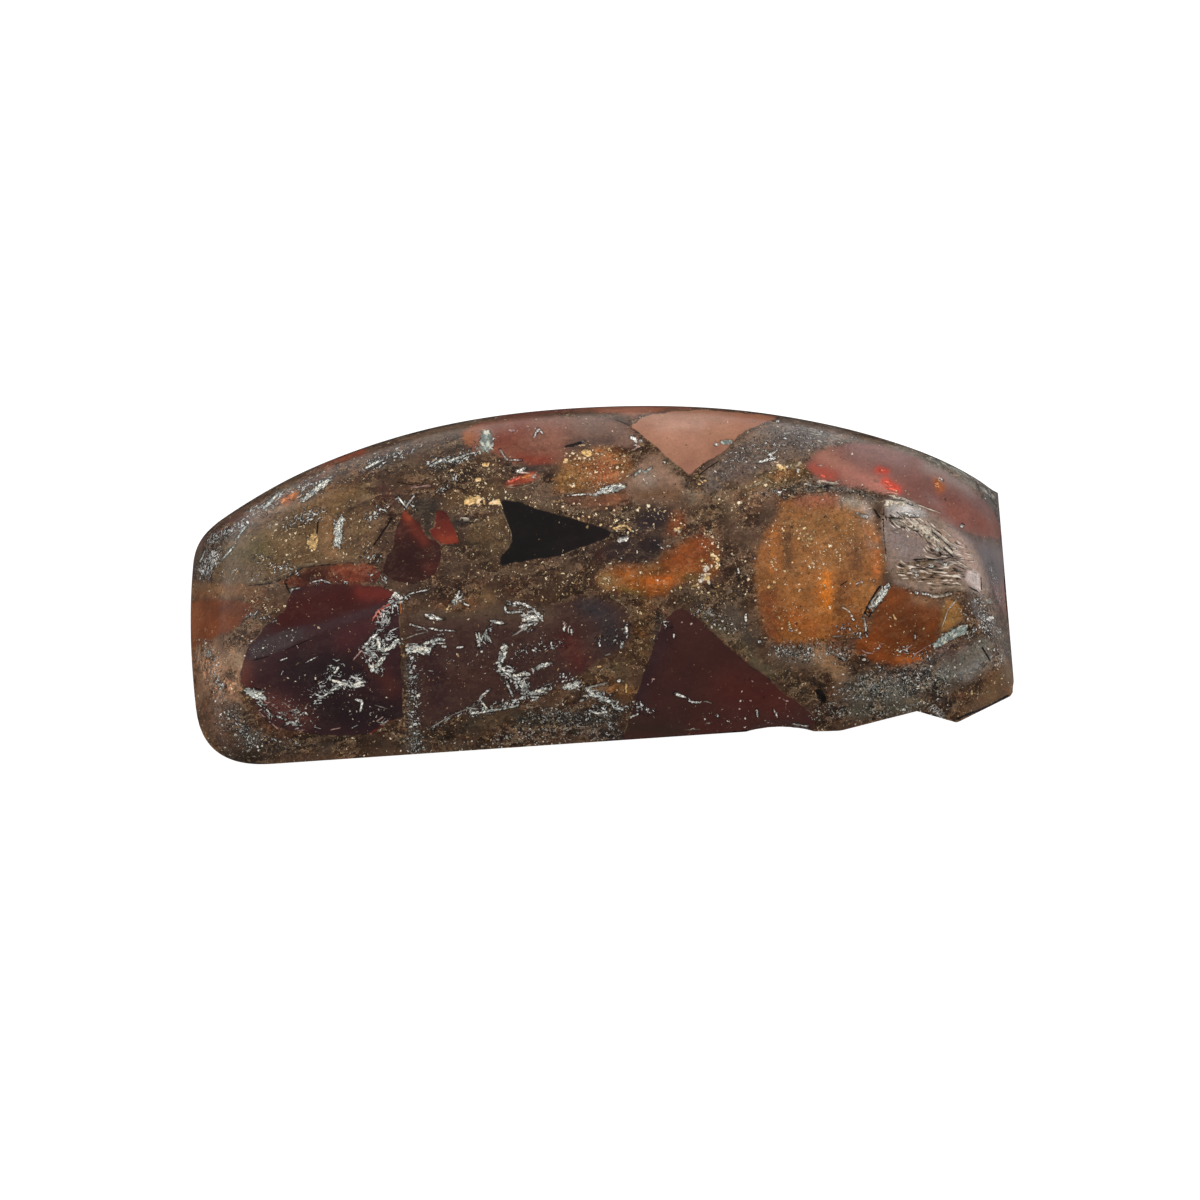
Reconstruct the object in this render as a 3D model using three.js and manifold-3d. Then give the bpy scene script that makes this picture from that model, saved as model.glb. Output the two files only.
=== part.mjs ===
// Matrix fire opal: one polished free-form cabochon, flat underneath and domed on top.
// Its opal fragments and the rock between them are grown together, so the stone is a single solid.
// Millimetres. X runs along the stone, Y from the straight front edge to the arched back edge, Z up.
import * as THREE from "three";
import { mergeVertices } from "three/addons/utils/BufferGeometryUtils.js";
import Module from "manifold-3d";

// Heights
const GIRDLE_HEIGHT = 1.0; // the widest line of the stone
const DOME_RISE = 6.25; // what the ground flanks round over towards, above the girdle
const END_DROP = 1.7; // how much less it is at the two ends
const HALF_LENGTH = 18;
const BASE_INSET = 1.4; // how far the bevel under the girdle comes in

// The girdle seen from above: its corners, and the arched back edge from left to right
const FRONT_LEFT = [-17.4, -8.85];
const FRONT_LEFT_ROUNDING = 2.9;
const LEFT_BULGE = [-18.3, -1.2];
const BACK_LEFT = [-17.85, 2.7];
const BACK_EDGE = [
  [-13.7, 5.3],
  [-9.2, 7.15],
  [-4.6, 8.2],
  [0.6, 8.65],
  [5.6, 8.52],
  [10.2, 7.75],
  [14.2, 6.5],
];
const BACK_RIGHT = [17.4, 4.95];
const RIGHT_CUT_TOP = [18.0, -5.15];
const RIGHT_CUT_BOTTOM = [15.5, -6.55];
const FRONT_MIDDLE = [6.3, -7.02];
const FRONT_BEND = [10.0, -7.0];

// Slope of each ground flank where it leaves the girdle, and how sharply one flank rounds into the next
const FRONT_SLOPE = 1.25;
const BACK_SLOPE = 3.2;
const LEFT_SLOPE = 2.2;
const RIGHT_SLOPE = 2.8;
const CUT_SLOPE = 2.4;
const ROUNDING_SLOPE = 3;
const SHARPNESS = 2.2;

// Mesh density, and the line along the top that the rings of the mesh close on
const OUTLINE_STEP = 0.5;
const RINGS = 20;
const CREST_LEFT = [-14.2, -2.4];
const CREST_RIGHT = [14.6, 0.1];
const CREST_STEPS = 58;

// The broken patch at the right end: ledges that run across it, each a line of points with its drop
const FRACTURE_CENTRE = [14.9, -0.4];
const FRACTURE_REACH = [3.3, 3.9];
const LEDGES = [
  { drop: 0.3, width: 0.35, line: [[12.2, 3.1], [13.4, 1.6], [14.7, 0.3], [15.8, -1.4], [16.4, -3.0]] },
  { drop: 0.2, width: 0.3, line: [[13.2, 3.6], [14.6, 2.2], [15.7, 0.9], [16.8, -0.4], [17.6, -2.0]] },
  { drop: -0.22, width: 0.4, line: [[11.9, 1.2], [12.9, 0.4], [13.8, -0.9], [14.9, -2.4], [15.6, -3.6]] },
];

// The chipped front edge: a shell-shaped scar, given by its deepest point on the girdle and the ball that
// fits it, and a long open notch that is undercut by this many degrees
const SHELL_CHIP = { deepest: [7.75, -6.62], radius: 3.0 };
const NOTCH_UNDERCUT = 31;
const NOTCH = [
  [9.6, -7.2],
  [13, -9],
  [16.4, -6.9],
  [13.7, -5.97],
];

const vector = ([x, y]) => new THREE.Vector2(x, y);

// The girdle's curves in order, counterclockwise seen from above
const corner = vector(FRONT_LEFT);
const roundStart = vector(LEFT_BULGE).sub(corner).setLength(FRONT_LEFT_ROUNDING).add(corner);
const roundEnd = vector(FRONT_MIDDLE).sub(corner).setLength(FRONT_LEFT_ROUNDING).add(corner);
const backPoints = [BACK_RIGHT, ...[...BACK_EDGE].reverse(), BACK_LEFT].map(vector);
const GIRDLE = {
  rounding: new THREE.QuadraticBezierCurve(roundStart, corner, roundEnd),
  frontLeft: new THREE.LineCurve(roundEnd, vector(FRONT_MIDDLE)),
  frontMiddle: new THREE.LineCurve(vector(FRONT_MIDDLE), vector(FRONT_BEND)),
  frontRight: new THREE.LineCurve(vector(FRONT_BEND), vector(RIGHT_CUT_BOTTOM)),
  cut: new THREE.LineCurve(vector(RIGHT_CUT_BOTTOM), vector(RIGHT_CUT_TOP)),
  right: new THREE.LineCurve(vector(RIGHT_CUT_TOP), vector(BACK_RIGHT)),
  back: new THREE.SplineCurve(backPoints),
  left: new THREE.QuadraticBezierCurve(vector(BACK_LEFT), vector(LEFT_BULGE), roundStart),
};

// Points along the girdle, with one on every corner
function girdlePoints() {
  return Object.values(GIRDLE).flatMap((curve) => {
    const count = Math.max(1, Math.round(curve.getLength() / OUTLINE_STEP));
    return curve.getSpacedPoints(count).slice(0, -1);
  });
}

// Signed distance from a line of points, positive on its right-hand side
function sideOfLine(x, y, line) {
  let best = Infinity;
  let side = 1;
  for (let i = 0; i + 1 < line.length; i++) {
    const [ax, ay] = line[i];
    const [dx, dy] = [line[i + 1][0] - ax, line[i + 1][1] - ay];
    const share = THREE.MathUtils.clamp(((x - ax) * dx + (y - ay) * dy) / (dx * dx + dy * dy), 0, 1);
    const distance = Math.hypot(x - ax - share * dx, y - ay - share * dy);
    if (distance < best) {
      best = distance;
      side = Math.sign((y - ay) * dx - (x - ax) * dy) || 1;
    }
  }
  return -best * side;
}

const lineOf = (curve) => curve.getPoints(48).map(({ x, y }) => [x, y]);
const FLANKS = [
  { slope: FRONT_SLOPE, line: [FRONT_LEFT, FRONT_MIDDLE, FRONT_BEND, RIGHT_CUT_BOTTOM] },
  { slope: CUT_SLOPE, line: [RIGHT_CUT_BOTTOM, RIGHT_CUT_TOP] },
  { slope: RIGHT_SLOPE, line: [RIGHT_CUT_TOP, BACK_RIGHT] },
  { slope: BACK_SLOPE, line: lineOf(GIRDLE.back) },
  { slope: LEFT_SLOPE, line: [...lineOf(GIRDLE.left), FRONT_LEFT] },
  { slope: ROUNDING_SLOPE, line: lineOf(GIRDLE.rounding) },
];

// Height of the polished dome over a point of the plan: the flanks, rounded into each other and into the top
function domeHeight(x, y) {
  const rise = DOME_RISE - END_DROP * (x / HALF_LENGTH) ** 2;
  let crowding = rise ** -SHARPNESS;
  for (const { slope, line } of FLANKS) {
    const distance = Math.max(1e-3, Math.abs(sideOfLine(x, y, line)));
    crowding += (slope * distance) ** -SHARPNESS;
  }
  return GIRDLE_HEIGHT + crowding ** (-1 / SHARPNESS);
}

function smoothstep(value) {
  return THREE.MathUtils.smoothstep(value, 0, 1);
}

// How far the broken patch lies below the polished dome
function fractureDepth(x, y) {
  const [cx, cy] = FRACTURE_CENTRE;
  const [rx, ry] = FRACTURE_REACH;
  const inside = 1 - smoothstep((Math.hypot((x - cx) / rx, (y - cy) / ry) - 0.75) / 0.25);
  let depth = 0;
  for (const { drop, width, line } of LEDGES) depth += drop * smoothstep(0.5 - sideOfLine(x, y, line) / width);
  return inside * depth;
}

function topHeight(x, y) {
  return domeHeight(x, y) - fractureDepth(x, y);
}

// The polished shape as rings of points: base, girdle, then up the dome, with the crest line that closes it
function stoneRings(girdle) {
  const crestStart = vector(CREST_LEFT);
  const crest = vector(CREST_RIGHT).sub(crestStart);
  const base = [];
  const dome = Array.from({ length: RINGS }, () => []);
  const feet = [];
  for (const edge of girdle) {
    const along = edge.clone().sub(crestStart).dot(crest) / crest.lengthSq();
    const share = THREE.MathUtils.clamp(along, 0, 1);
    const foot = crestStart.clone().addScaledVector(crest, share);
    feet.push(Math.round(share * CREST_STEPS));

    const inner = foot.clone().sub(edge).setLength(BASE_INSET).add(edge);
    base.push([inner.x, inner.y, 0]);
    dome.forEach((ring, k) => {
      const { x, y } = foot.clone().lerp(edge, Math.cos(((k / RINGS) * Math.PI) / 2));
      ring.push([x, y, k === 0 ? GIRDLE_HEIGHT : topHeight(x, y)]);
    });
  }
  const crestLine = Array.from({ length: CREST_STEPS + 1 }, (_, step) => {
    const { x, y } = crestStart.clone().addScaledVector(crest, step / CREST_STEPS);
    return [x, y, topHeight(x, y)];
  });
  return { rings: [base, ...dome], crestLine, feet };
}

// Rings joined to a closed body: the first is filled flat, and the last closes on the crest line
function bodyFromRings({ rings, crestLine, feet }) {
  const around = rings[0].length;
  const index = [];
  for (let k = 0; k + 1 < rings.length; k++) {
    for (let i = 0; i < around; i++) {
      const [a, b] = [k * around + i, k * around + ((i + 1) % around)];
      index.push(a, b, b + around, a, b + around, a + around);
    }
  }
  const contour = rings[0].map(([x, y]) => new THREE.Vector2(x, y));
  for (const corners of THREE.ShapeUtils.triangulateShape(contour, [])) index.push(...corners.reverse());

  const top = (rings.length - 1) * around;
  const crestStart = rings.length * around;
  for (let i = 0; i < around; i++) {
    const next = (i + 1) % around;
    index.push(top + i, top + next, crestStart + feet[i]);
    const step = Math.sign(feet[next] - feet[i]);
    for (let foot = feet[i]; foot !== feet[next]; foot += step) {
      index.push(top + next, crestStart + foot + step, crestStart + foot);
    }
  }
  const geometry = new THREE.BufferGeometry();
  geometry.setAttribute("position", new THREE.Float32BufferAttribute([...rings.flat(), ...crestLine].flat(), 3));
  geometry.setIndex(index);
  return geometry;
}

// The ball that the shell-shaped chip is scooped with
function shellChipGeometry({ deepest: [x, y], radius }) {
  return new THREE.SphereGeometry(radius, 40, 28).translate(x, y - radius, GIRDLE_HEIGHT);
}

// The wedge that the notch is cut with: its plan on the girdle, leaning outwards as it rises
function notchGeometry(corners) {
  const geometry = new THREE.ExtrudeGeometry(new THREE.Shape(corners.map(vector)), {
    depth: 2 * DOME_RISE,
    bevelEnabled: false,
  });
  geometry.translate(0, 0, -DOME_RISE);
  const lean = Math.tan(THREE.MathUtils.degToRad(NOTCH_UNDERCUT));
  geometry.applyMatrix4(new THREE.Matrix4().makeShear(0, 0, 0, 0, 0, -lean));
  geometry.translate(0, 0, GIRDLE_HEIGHT);
  return geometry;
}

const wasm = await Module();
wasm.setup();

function toSolid(geometry) {
  for (const name of ["normal", "uv"]) geometry.deleteAttribute(name);
  const merged = mergeVertices(geometry, 1e-4);
  return new wasm.Manifold(
    new wasm.Mesh({
      numProp: 3,
      vertProperties: merged.attributes.position.array,
      triVerts: new Uint32Array(merged.index.array),
    }),
  );
}

function toGeometry(solid) {
  const mesh = solid.getMesh();
  const geometry = new THREE.BufferGeometry();
  geometry.setAttribute("position", new THREE.BufferAttribute(mesh.vertProperties, 3));
  geometry.setIndex(new THREE.BufferAttribute(mesh.triVerts, 1));
  geometry.computeVertexNormals();
  return geometry;
}

// The origin is on the flat base, under the middle of the stone's outline
function standOnOrigin(geometry) {
  geometry.computeBoundingBox();
  const { x, y } = geometry.boundingBox.getCenter(new THREE.Vector3());
  return geometry.translate(-x, -y, -geometry.boundingBox.min.z);
}

const solid = toSolid(bodyFromRings(stoneRings(girdlePoints())))
  .subtract(toSolid(shellChipGeometry(SHELL_CHIP)))
  .subtract(toSolid(notchGeometry(NOTCH)));

const stone = new THREE.Mesh(
  standOnOrigin(toGeometry(solid)),
  new THREE.MeshStandardMaterial({ color: 0x6b4630, roughness: 0.12, metalness: 0 }),
);
stone.name = "stone";

const opal = new THREE.Group();
opal.add(stone);

export default opal;
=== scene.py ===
import math

import bpy
import numpy as np
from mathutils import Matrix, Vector


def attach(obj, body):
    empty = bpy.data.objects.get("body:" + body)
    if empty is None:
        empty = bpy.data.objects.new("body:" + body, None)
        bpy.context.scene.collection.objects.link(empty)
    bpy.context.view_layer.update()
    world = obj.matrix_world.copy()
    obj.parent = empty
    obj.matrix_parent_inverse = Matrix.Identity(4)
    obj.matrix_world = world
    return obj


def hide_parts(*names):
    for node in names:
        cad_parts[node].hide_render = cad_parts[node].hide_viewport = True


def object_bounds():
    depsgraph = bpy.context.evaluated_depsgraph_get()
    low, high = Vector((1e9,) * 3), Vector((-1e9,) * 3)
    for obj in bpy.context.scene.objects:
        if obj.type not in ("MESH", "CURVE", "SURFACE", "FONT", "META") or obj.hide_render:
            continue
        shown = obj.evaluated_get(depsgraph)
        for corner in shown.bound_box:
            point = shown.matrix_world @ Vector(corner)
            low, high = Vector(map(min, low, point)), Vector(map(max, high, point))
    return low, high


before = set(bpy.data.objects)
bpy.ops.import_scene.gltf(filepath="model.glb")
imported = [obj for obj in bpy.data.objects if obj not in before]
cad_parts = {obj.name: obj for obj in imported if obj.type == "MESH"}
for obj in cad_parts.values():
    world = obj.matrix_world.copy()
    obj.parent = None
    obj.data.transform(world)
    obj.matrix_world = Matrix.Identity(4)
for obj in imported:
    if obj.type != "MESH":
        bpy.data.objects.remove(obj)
CAD_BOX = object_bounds()

MM = 0.001

# The camera: how it looks at the stone, and how large the stone is in the picture
PICTURE_SIZE = 1200
PIXELS_PER_MM = 22.887
STONE_MIDDLE_PIXEL = (602.1, 565.9)
ELEVATION = math.radians(61)
DISTANCE = 600 * MM
SENSOR_WIDTH = 36
CLIP_START = 10 * MM

RIGHT = Vector((1, 0, 0))
UP = Vector((0, math.sin(ELEVATION), math.cos(ELEVATION)))
FORWARD = Vector((0, math.cos(ELEVATION), -math.sin(ELEVATION)))
STONE_MIDDLE = (Vector(CAD_BOX[0]) + Vector(CAD_BOX[1])) / 2


def camera():
    """The picture's camera: a long lens, looking down on the stone from the front."""
    across = (PICTURE_SIZE / 2 - STONE_MIDDLE_PIXEL[0]) / PIXELS_PER_MM * MM
    down = (PICTURE_SIZE / 2 - STONE_MIDDLE_PIXEL[1]) / PIXELS_PER_MM * MM
    target = STONE_MIDDLE + RIGHT * across - UP * down
    data = bpy.data.cameras.new("camera")
    data.sensor_width = SENSOR_WIDTH
    data.lens = PIXELS_PER_MM / MM * DISTANCE * SENSOR_WIDTH / PICTURE_SIZE
    data.clip_start = CLIP_START
    made = bpy.data.objects.new("camera", data)
    made.location = target - FORWARD * DISTANCE
    made.rotation_euler = FORWARD.to_track_quat("-Z", "Y").to_euler()
    bpy.context.scene.collection.objects.link(made)
    bpy.context.scene.camera = made


camera()


# The stone's fine surface: how near two corners are merged, which triangles become quads again, which
# edges stay sharp, and how finely it is rounded
MERGE_DISTANCE = 0.004 * MM
QUAD_FACE_ANGLE = math.radians(25)
QUAD_SHAPE_ANGLE = math.radians(60)
QUAD_FLOW = 1.6
SHARP_ANGLE = math.radians(32)
SHARP_CREASE = 0.9
SHADING_ANGLE = math.radians(40)
ROUNDING_LEVELS = 2


def only_selected(piece):
    bpy.ops.object.select_all(action="DESELECT")
    piece.select_set(True)
    bpy.context.view_layer.objects.active = piece


def fine_stone():
    """The solid's facets merged, turned back into quads and rounded into one polished surface."""
    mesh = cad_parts["stone"].data.copy()
    piece = bpy.data.objects.new("polished_stone", mesh)
    bpy.context.scene.collection.objects.link(piece)
    only_selected(piece)
    bpy.ops.object.mode_set(mode="EDIT")
    bpy.ops.mesh.select_all(action="SELECT")
    bpy.ops.mesh.remove_doubles(threshold=MERGE_DISTANCE)
    bpy.ops.mesh.tris_convert_to_quads(
        face_threshold=QUAD_FACE_ANGLE, shape_threshold=QUAD_SHAPE_ANGLE, topology_influence=QUAD_FLOW
    )
    bpy.ops.mesh.select_mode(type="EDGE")
    bpy.ops.mesh.select_all(action="DESELECT")
    bpy.ops.mesh.edges_select_sharp(sharpness=SHARP_ANGLE)
    bpy.ops.transform.edge_crease(value=SHARP_CREASE)
    bpy.ops.object.mode_set(mode="OBJECT")
    rounding = piece.modifiers.new("rounding", "SUBSURF")
    rounding.levels = ROUNDING_LEVELS
    rounding.render_levels = ROUNDING_LEVELS
    bpy.ops.object.modifier_apply(modifier="rounding")
    bpy.ops.object.shade_smooth_by_angle(angle=SHADING_ANGLE)
    return piece


# Colours, as the eye reads them on a screen, 0 to 255
def paint(red, green, blue):
    """The linear colour of a screen colour."""
    screen = np.array([red, green, blue]) / 255
    return np.where(screen <= 0.04045, screen / 12.92, ((screen + 0.055) / 1.055) ** 2.4)


# The opal fragments. Each outline and tone is placed in the picture's pixels. A tone is a colour,
# its reach, and the point or line that it lies along
DEEP_RED = dict(
    outline=[
        (239, 683), (240, 672), (247, 649), (264, 627), (284, 610), (288, 599), (292, 592), (301, 586),
        (320, 584), (348, 584), (376, 586), (393, 591), (404, 597), (404, 717), (390, 722), (368, 734),
        (330, 737), (300, 733), (270, 724), (256, 708), (250, 694),
    ],
    soft=0,
    clear=0.93,
    colour=(60, 37, 40),
    tones=[
        ((70, 27, 24), 22, (285, 614), (330, 600), (372, 594)), ((110, 38, 30), 8, (360, 592), (392, 596)),
        ((46, 34, 37), 20, (300, 672), (345, 668)), ((44, 32, 35), 20, (330, 710), (390, 715)),
        ((90, 45, 35), 9, (244, 668), (242, 690)), ((98, 58, 52), 11, (264, 702), (300, 718)),
        ((76, 40, 42), 12, (345, 640), (372, 622)), ((78, 44, 40), 9, (368, 655), (392, 690)),
    ],
    # The two patches are a painted reflection: the purple-grey sheen of a long soft light on the polish, with
    # a sharp edge.
    patches=[
        (
            (70, 56, 58), 2, (250, 660), (252, 646), (262, 638), (282, 632), (304, 627), (312, 636),
            (288, 647), (268, 655),
        ),
        (
            (70, 46, 49), 2, (302, 638), (302, 627), (340, 618), (372, 607), (388, 603), (376, 614),
            (345, 625), (320, 633),
        ),
    ],
)
BURNT_ORANGE_BAND = dict(
    outline=[
        (276, 586), (295, 573.6), (320, 565), (348, 562), (371, 563.8), (382, 573.6), (376, 582.6),
        (348, 583), (326, 583), (300, 586),
    ],
    soft=0,
    clear=0.5,
    colour=(103, 51, 34),
    tones=[
        ((147, 69, 40), 7, (338, 569), (366, 568)), ((66, 32, 25), 6, (303, 577), (322, 574)),
        ((125, 58, 36), 6, (350, 578), (372, 572)), ((110, 62, 40), 8, (284, 582)),
    ],
)
SMALL_RED = dict(
    outline=[
        (404.5, 510.5), (412, 517), (419.9, 523), (426.9, 537), (435, 541), (442.4, 543), (441, 554),
        (438, 571), (427, 580.6), (410, 585), (393, 580), (382, 572), (386, 560), (394.7, 545.6),
        (393, 537), (400, 520),
    ],
    soft=0,
    clear=0.85,
    colour=(60, 30, 26),
    tones=[
        ((52, 27, 25), 16, (396, 566), (415, 556)), ((150, 62, 36), 5, (403, 511), (409, 518)),
        ((110, 44, 30), 6, (414, 528), (424, 540)), ((84, 36, 28), 7, (430, 568)),
        ((84, 40, 32), 6, (398, 530)),
    ],
)
RED_SPLINTER = dict(
    outline=[
        (436.8, 509), (445, 512), (451, 523), (460.6, 542.8), (448, 543), (440, 543), (431, 536),
        (429, 530), (434, 526), (435, 518),
    ],
    soft=0,
    clear=0.9,
    colour=(112, 38, 26),
    tones=[
        ((74, 28, 24), 6, (443, 515)), ((142, 54, 30), 5, (440, 538), (456, 540)),
        ((86, 34, 26), 3, (437, 524)),
    ],
)
BLACK_SHARD = dict(
    outline=[
        (501, 500.5), (516.7, 502), (544.8, 511.5), (573, 520), (601, 527), (616, 533.5), (604, 539),
        (580, 547), (564, 555), (544.8, 558.5), (516.7, 563), (499.5, 567), (500, 561), (505.5, 552),
        (512.5, 542.8), (510, 529), (504, 514.7),
    ],
    soft=0,
    clear=0.98,
    colour=(26, 23, 23),
    tones=[((30, 24, 24), 18, (575, 538), (610, 534))],
)
BRICK_RED = dict(
    outline=[
        (460.6, 433), (469, 426), (485, 422), (502.7, 419), (530, 417), (558.8, 416.5), (580, 417),
        (603, 417), (623, 423), (637, 434.5), (641, 443), (629, 449), (609, 446), (597, 446.5), (580, 450),
        (572, 455), (558.8, 463), (533.6, 465), (514, 463), (503, 458), (493, 452), (474.6, 451.6),
        (463.4, 444.5),
    ],
    soft=2,
    clear=0.8,
    colour=(132, 84, 66),
    tones=[
        ((160, 92, 48), 12, (466, 436)), ((142, 84, 66), 9, (484, 430)),
        ((126, 62, 46), 12, (500, 440), (520, 430)), ((150, 100, 82), 13, (540, 446), (556, 438)),
        ((140, 66, 50), 8, (522, 459), (545, 461)), ((130, 102, 90), 24, (590, 430), (625, 434)),
        ((96, 76, 68), 8, (575, 446), (610, 443)), ((140, 128, 112), 5, (486, 434), (484, 448)),
    ],
)
SPARKLING_LENS = dict(
    outline=[
        (553, 492), (556, 478), (564, 462), (580, 451), (602, 447.5), (620, 451), (632, 459), (634, 467),
        (628, 474), (617, 481), (600, 488), (580, 493),
    ],
    soft=5,
    clear=0.35,
    colour=(163, 111, 65),
    tones=[
        ((163, 119, 63), 14, (566, 482)), ((190, 111, 65), 13, (604, 470)), ((149, 97, 63), 8, (585, 455)),
    ],
)
BROWN_LENS = dict(
    outline=[
        (560, 499), (580, 496.5), (605, 494), (625, 491), (632, 497), (626, 504), (600, 508), (575, 507),
    ],
    soft=4,
    clear=0.6,
    colour=(124, 81, 58),
    tones=[((103, 67, 51), 8, (575, 503)), ((148, 90, 59), 8, (615, 498))],
)
SMOKY_LOBE = dict(
    outline=[
        (622, 486), (634, 472), (640, 460), (650, 453), (662, 457), (676, 474), (687, 490), (683, 500),
        (662, 503), (640, 502), (630, 498),
    ],
    soft=6,
    clear=0.75,
    colour=(150, 119, 99),
    tones=[
        ((117, 86, 61), 9, (640, 495), (676, 495)), ((160, 140, 125), 9, (646, 478)),
    ],
)
PINK_TRIANGLE = dict(
    outline=[
        (631, 426), (640, 420), (652, 414.5), (672, 411.5), (705, 409.5), (741, 412.5), (781, 417),
        (764, 423), (741, 434.5), (729, 446), (715, 457.5), (700.5, 466), (689, 476), (680, 467),
        (666, 455), (646, 440),
    ],
    soft=0,
    clear=0.95,
    colour=(172, 121, 95),
    tones=[
        ((181, 129, 105), 16, (655, 432), (690, 440)), ((168, 108, 80), 12, (740, 420), (770, 418)),
        ((158, 108, 87), 10, (690, 464)), ((191, 144, 122), 6, (660, 427), (700, 425)),
        ((151, 104, 84), 8, (716, 450)),
    ],
)
ORANGE_RIM = dict(
    outline=[
        (486, 417.5), (520, 412), (566, 407), (601, 405), (672, 404), (731, 407), (770, 411), (745, 411.5),
        (705, 407.5), (672, 409.5), (650, 412.5), (636, 417), (618, 413), (590, 411), (560, 412),
        (520, 416.5),
    ],
    soft=3,
    clear=0.8,
    colour=(150, 88, 64),
    tones=[((126, 62, 48), 14, (500, 415), (560, 410)), ((168, 108, 84), 12, (610, 409), (640, 410))],
)
GREY_LOBE = dict(
    outline=[
        (703, 482), (706, 470), (722, 457), (735, 444), (752, 432), (768, 424), (785, 419), (815, 424),
        (850, 432), (880, 442), (858, 441), (838, 444.5), (820, 450), (808, 460), (790, 463), (770, 470),
        (745, 478), (722, 488), (706, 494),
    ],
    soft=7,
    clear=0.5,
    colour=(122, 108, 99),
    tones=[
        ((132, 122, 117), 14, (790, 430), (830, 436)), ((108, 94, 87), 12, (735, 470), (760, 462)),
        ((137, 118, 103), 10, (760, 445)),
    ],
)
GOLD_TAN_STRIP = dict(
    outline=[
        (741, 493), (752, 483), (766.5, 475), (786.6, 467), (800, 463.5), (809, 471), (797, 478),
        (781, 481), (764, 487), (748, 496),
    ],
    soft=4,
    clear=0.1,
    colour=(152, 118, 76),
    tones=[((134, 102, 68), 8, (750, 490)), ((166, 126, 82), 7, (780, 473))],
)
FIRE_RED = dict(
    outline=[
        (804, 464), (811, 456), (820, 450), (832.6, 445.5), (855.5, 442.5), (881, 446), (910, 454.6),
        (938.7, 468), (967.4, 485), (988, 504), (999, 520.6), (1004, 540), (982, 537), (953, 526.5),
        (924.4, 515.5), (904, 503.5), (890, 496.5), (867, 489.5), (838, 486), (817, 480),
    ],
    soft=2,
    clear=0.9,
    colour=(131, 86, 77),
    tones=[
        # Its greyer tones along the top, from (858, 453) to (900, 462) and from (930, 466) to (972, 488), are
        # painted sheen, where the polish mirrors a pale light.
        ((162, 111, 94), 14, (826, 458), (846, 466)), ((185, 122, 107), 12, (850, 476), (884, 488)),
        ((140, 103, 97), 14, (858, 453), (900, 462)), ((128, 88, 82), 20, (940, 488), (975, 510)),
        ((139, 78, 63), 12, (950, 512), (992, 530)), ((146, 122, 115), 9, (930, 466), (972, 488)),
        ((172, 84, 68), 7, (814, 468), (832, 477)), ((224, 78, 59), 4, (886, 481), (898, 490)),
        ((204, 76, 59), 3.5, (878, 470), (886, 471)), ((174, 97, 57), 5, (938, 482), (941, 489)),
    ],
)
AMBER_NODULE = dict(
    outline=[
        (778, 517.8), (781, 503), (798, 496), (824, 493), (844, 495), (860, 498), (872, 507), (873, 520),
        (882.8, 540.7), (886, 563.7), (879, 586.6), (870, 609.6), (864, 630), (847, 635.4), (824, 640),
        (798, 644), (778, 646), (766.5, 633), (759, 609.6), (755, 581), (758, 552), (766.5, 532),
    ],
    soft=5,
    clear=0.6,
    colour=(161, 105, 54),
    tones=[
        # The pale grey tones at its upper right, along (846, 500) to (858, 505), (866, 506) to (871, 516) and
        # (868, 522) to (874, 545), are a painted reflection of the light on the polish.
        ((163, 100, 74), 9, (800, 500), (834, 500)), ((176, 163, 146), 8, (846, 500), (858, 505)),
        ((160, 111, 62), 16, (800, 525), (850, 530)), ((117, 81, 48), 6, (787, 535), (787, 565)),
        ((178, 111, 52), 8, (772, 530), (772, 570)), ((170, 114, 60), 12, (812, 560), (850, 560)),
        ((228, 132, 36), 8, (825, 578), (827, 606)), ((178, 105, 48), 15, (795, 620), (812, 628)),
        ((134, 78, 44), 12, (768, 600), (772, 635)), ((132, 84, 44), 7, (842, 585), (838, 612)),
        ((166, 140, 118), 7, (868, 522), (874, 545)), ((205, 119, 56), 4, (876, 552), (877, 574)),
        ((198, 178, 164), 5, (866, 506), (871, 516)), ((190, 119, 62), 6, (868, 528), (874, 538)),
        ((137, 90, 54), 8, (855, 545), (856, 566)), ((145, 86, 46), 8, (856, 618), (838, 632)),
    ],
)
SECOND_AMBER = dict(
    outline=[
        (884, 582), (896, 586), (910, 592), (936, 600), (943, 610), (938.7, 630), (936, 647), (921.5, 660),
        (896, 665.6), (872.7, 661.5), (858, 652.6), (854, 642), (867, 633), (875.6, 610), (881, 593),
    ],
    soft=3,
    clear=0.75,
    colour=(120, 65, 31),
    tones=[
        ((150, 78, 33), 11, (866, 640), (880, 648)), ((141, 99, 70), 6, (915, 599), (940, 604)),
        ((102, 56, 29), 12, (905, 622), (925, 640)), ((137, 74, 33), 8, (893, 600)),
        ((177, 94, 37), 5, (900, 660), (925, 658)),
    ],
)
YELLOW_CHIP = dict(
    outline=[(941, 612), (947, 600), (956, 600), (962, 609), (960, 620), (950, 630), (941, 633)],
    soft=2,
    clear=0.6,
    colour=(155, 112, 59),
    tones=[((173, 126, 76), 5, (952, 606))],
)
MAROON_SHEET = dict(
    outline=[
        (407, 616), (430, 607), (470, 612), (500, 604), (540, 606), (570, 600), (594, 594), (610, 602),
        (626, 611), (633, 624), (630, 640), (620, 651), (600, 660), (588, 669), (572, 681), (560, 687),
        (545, 689), (518, 699), (480, 708), (450, 718), (424, 729), (412, 722), (409, 690), (408, 650),
    ],
    soft=4,
    clear=0.85,
    colour=(74, 51, 47),
    tones=[
        ((94, 74, 59), 12, (420, 612), (500, 610), (545, 612)), ((88, 45, 41), 12, (568, 640), (578, 662)),
        ((61, 53, 55), 12, (588, 606), (606, 618), (612, 640)), ((76, 50, 45), 14, (450, 680), (500, 680)),
        ((63, 42, 43), 10, (430, 650), (440, 700)),
    ],
)
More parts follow.
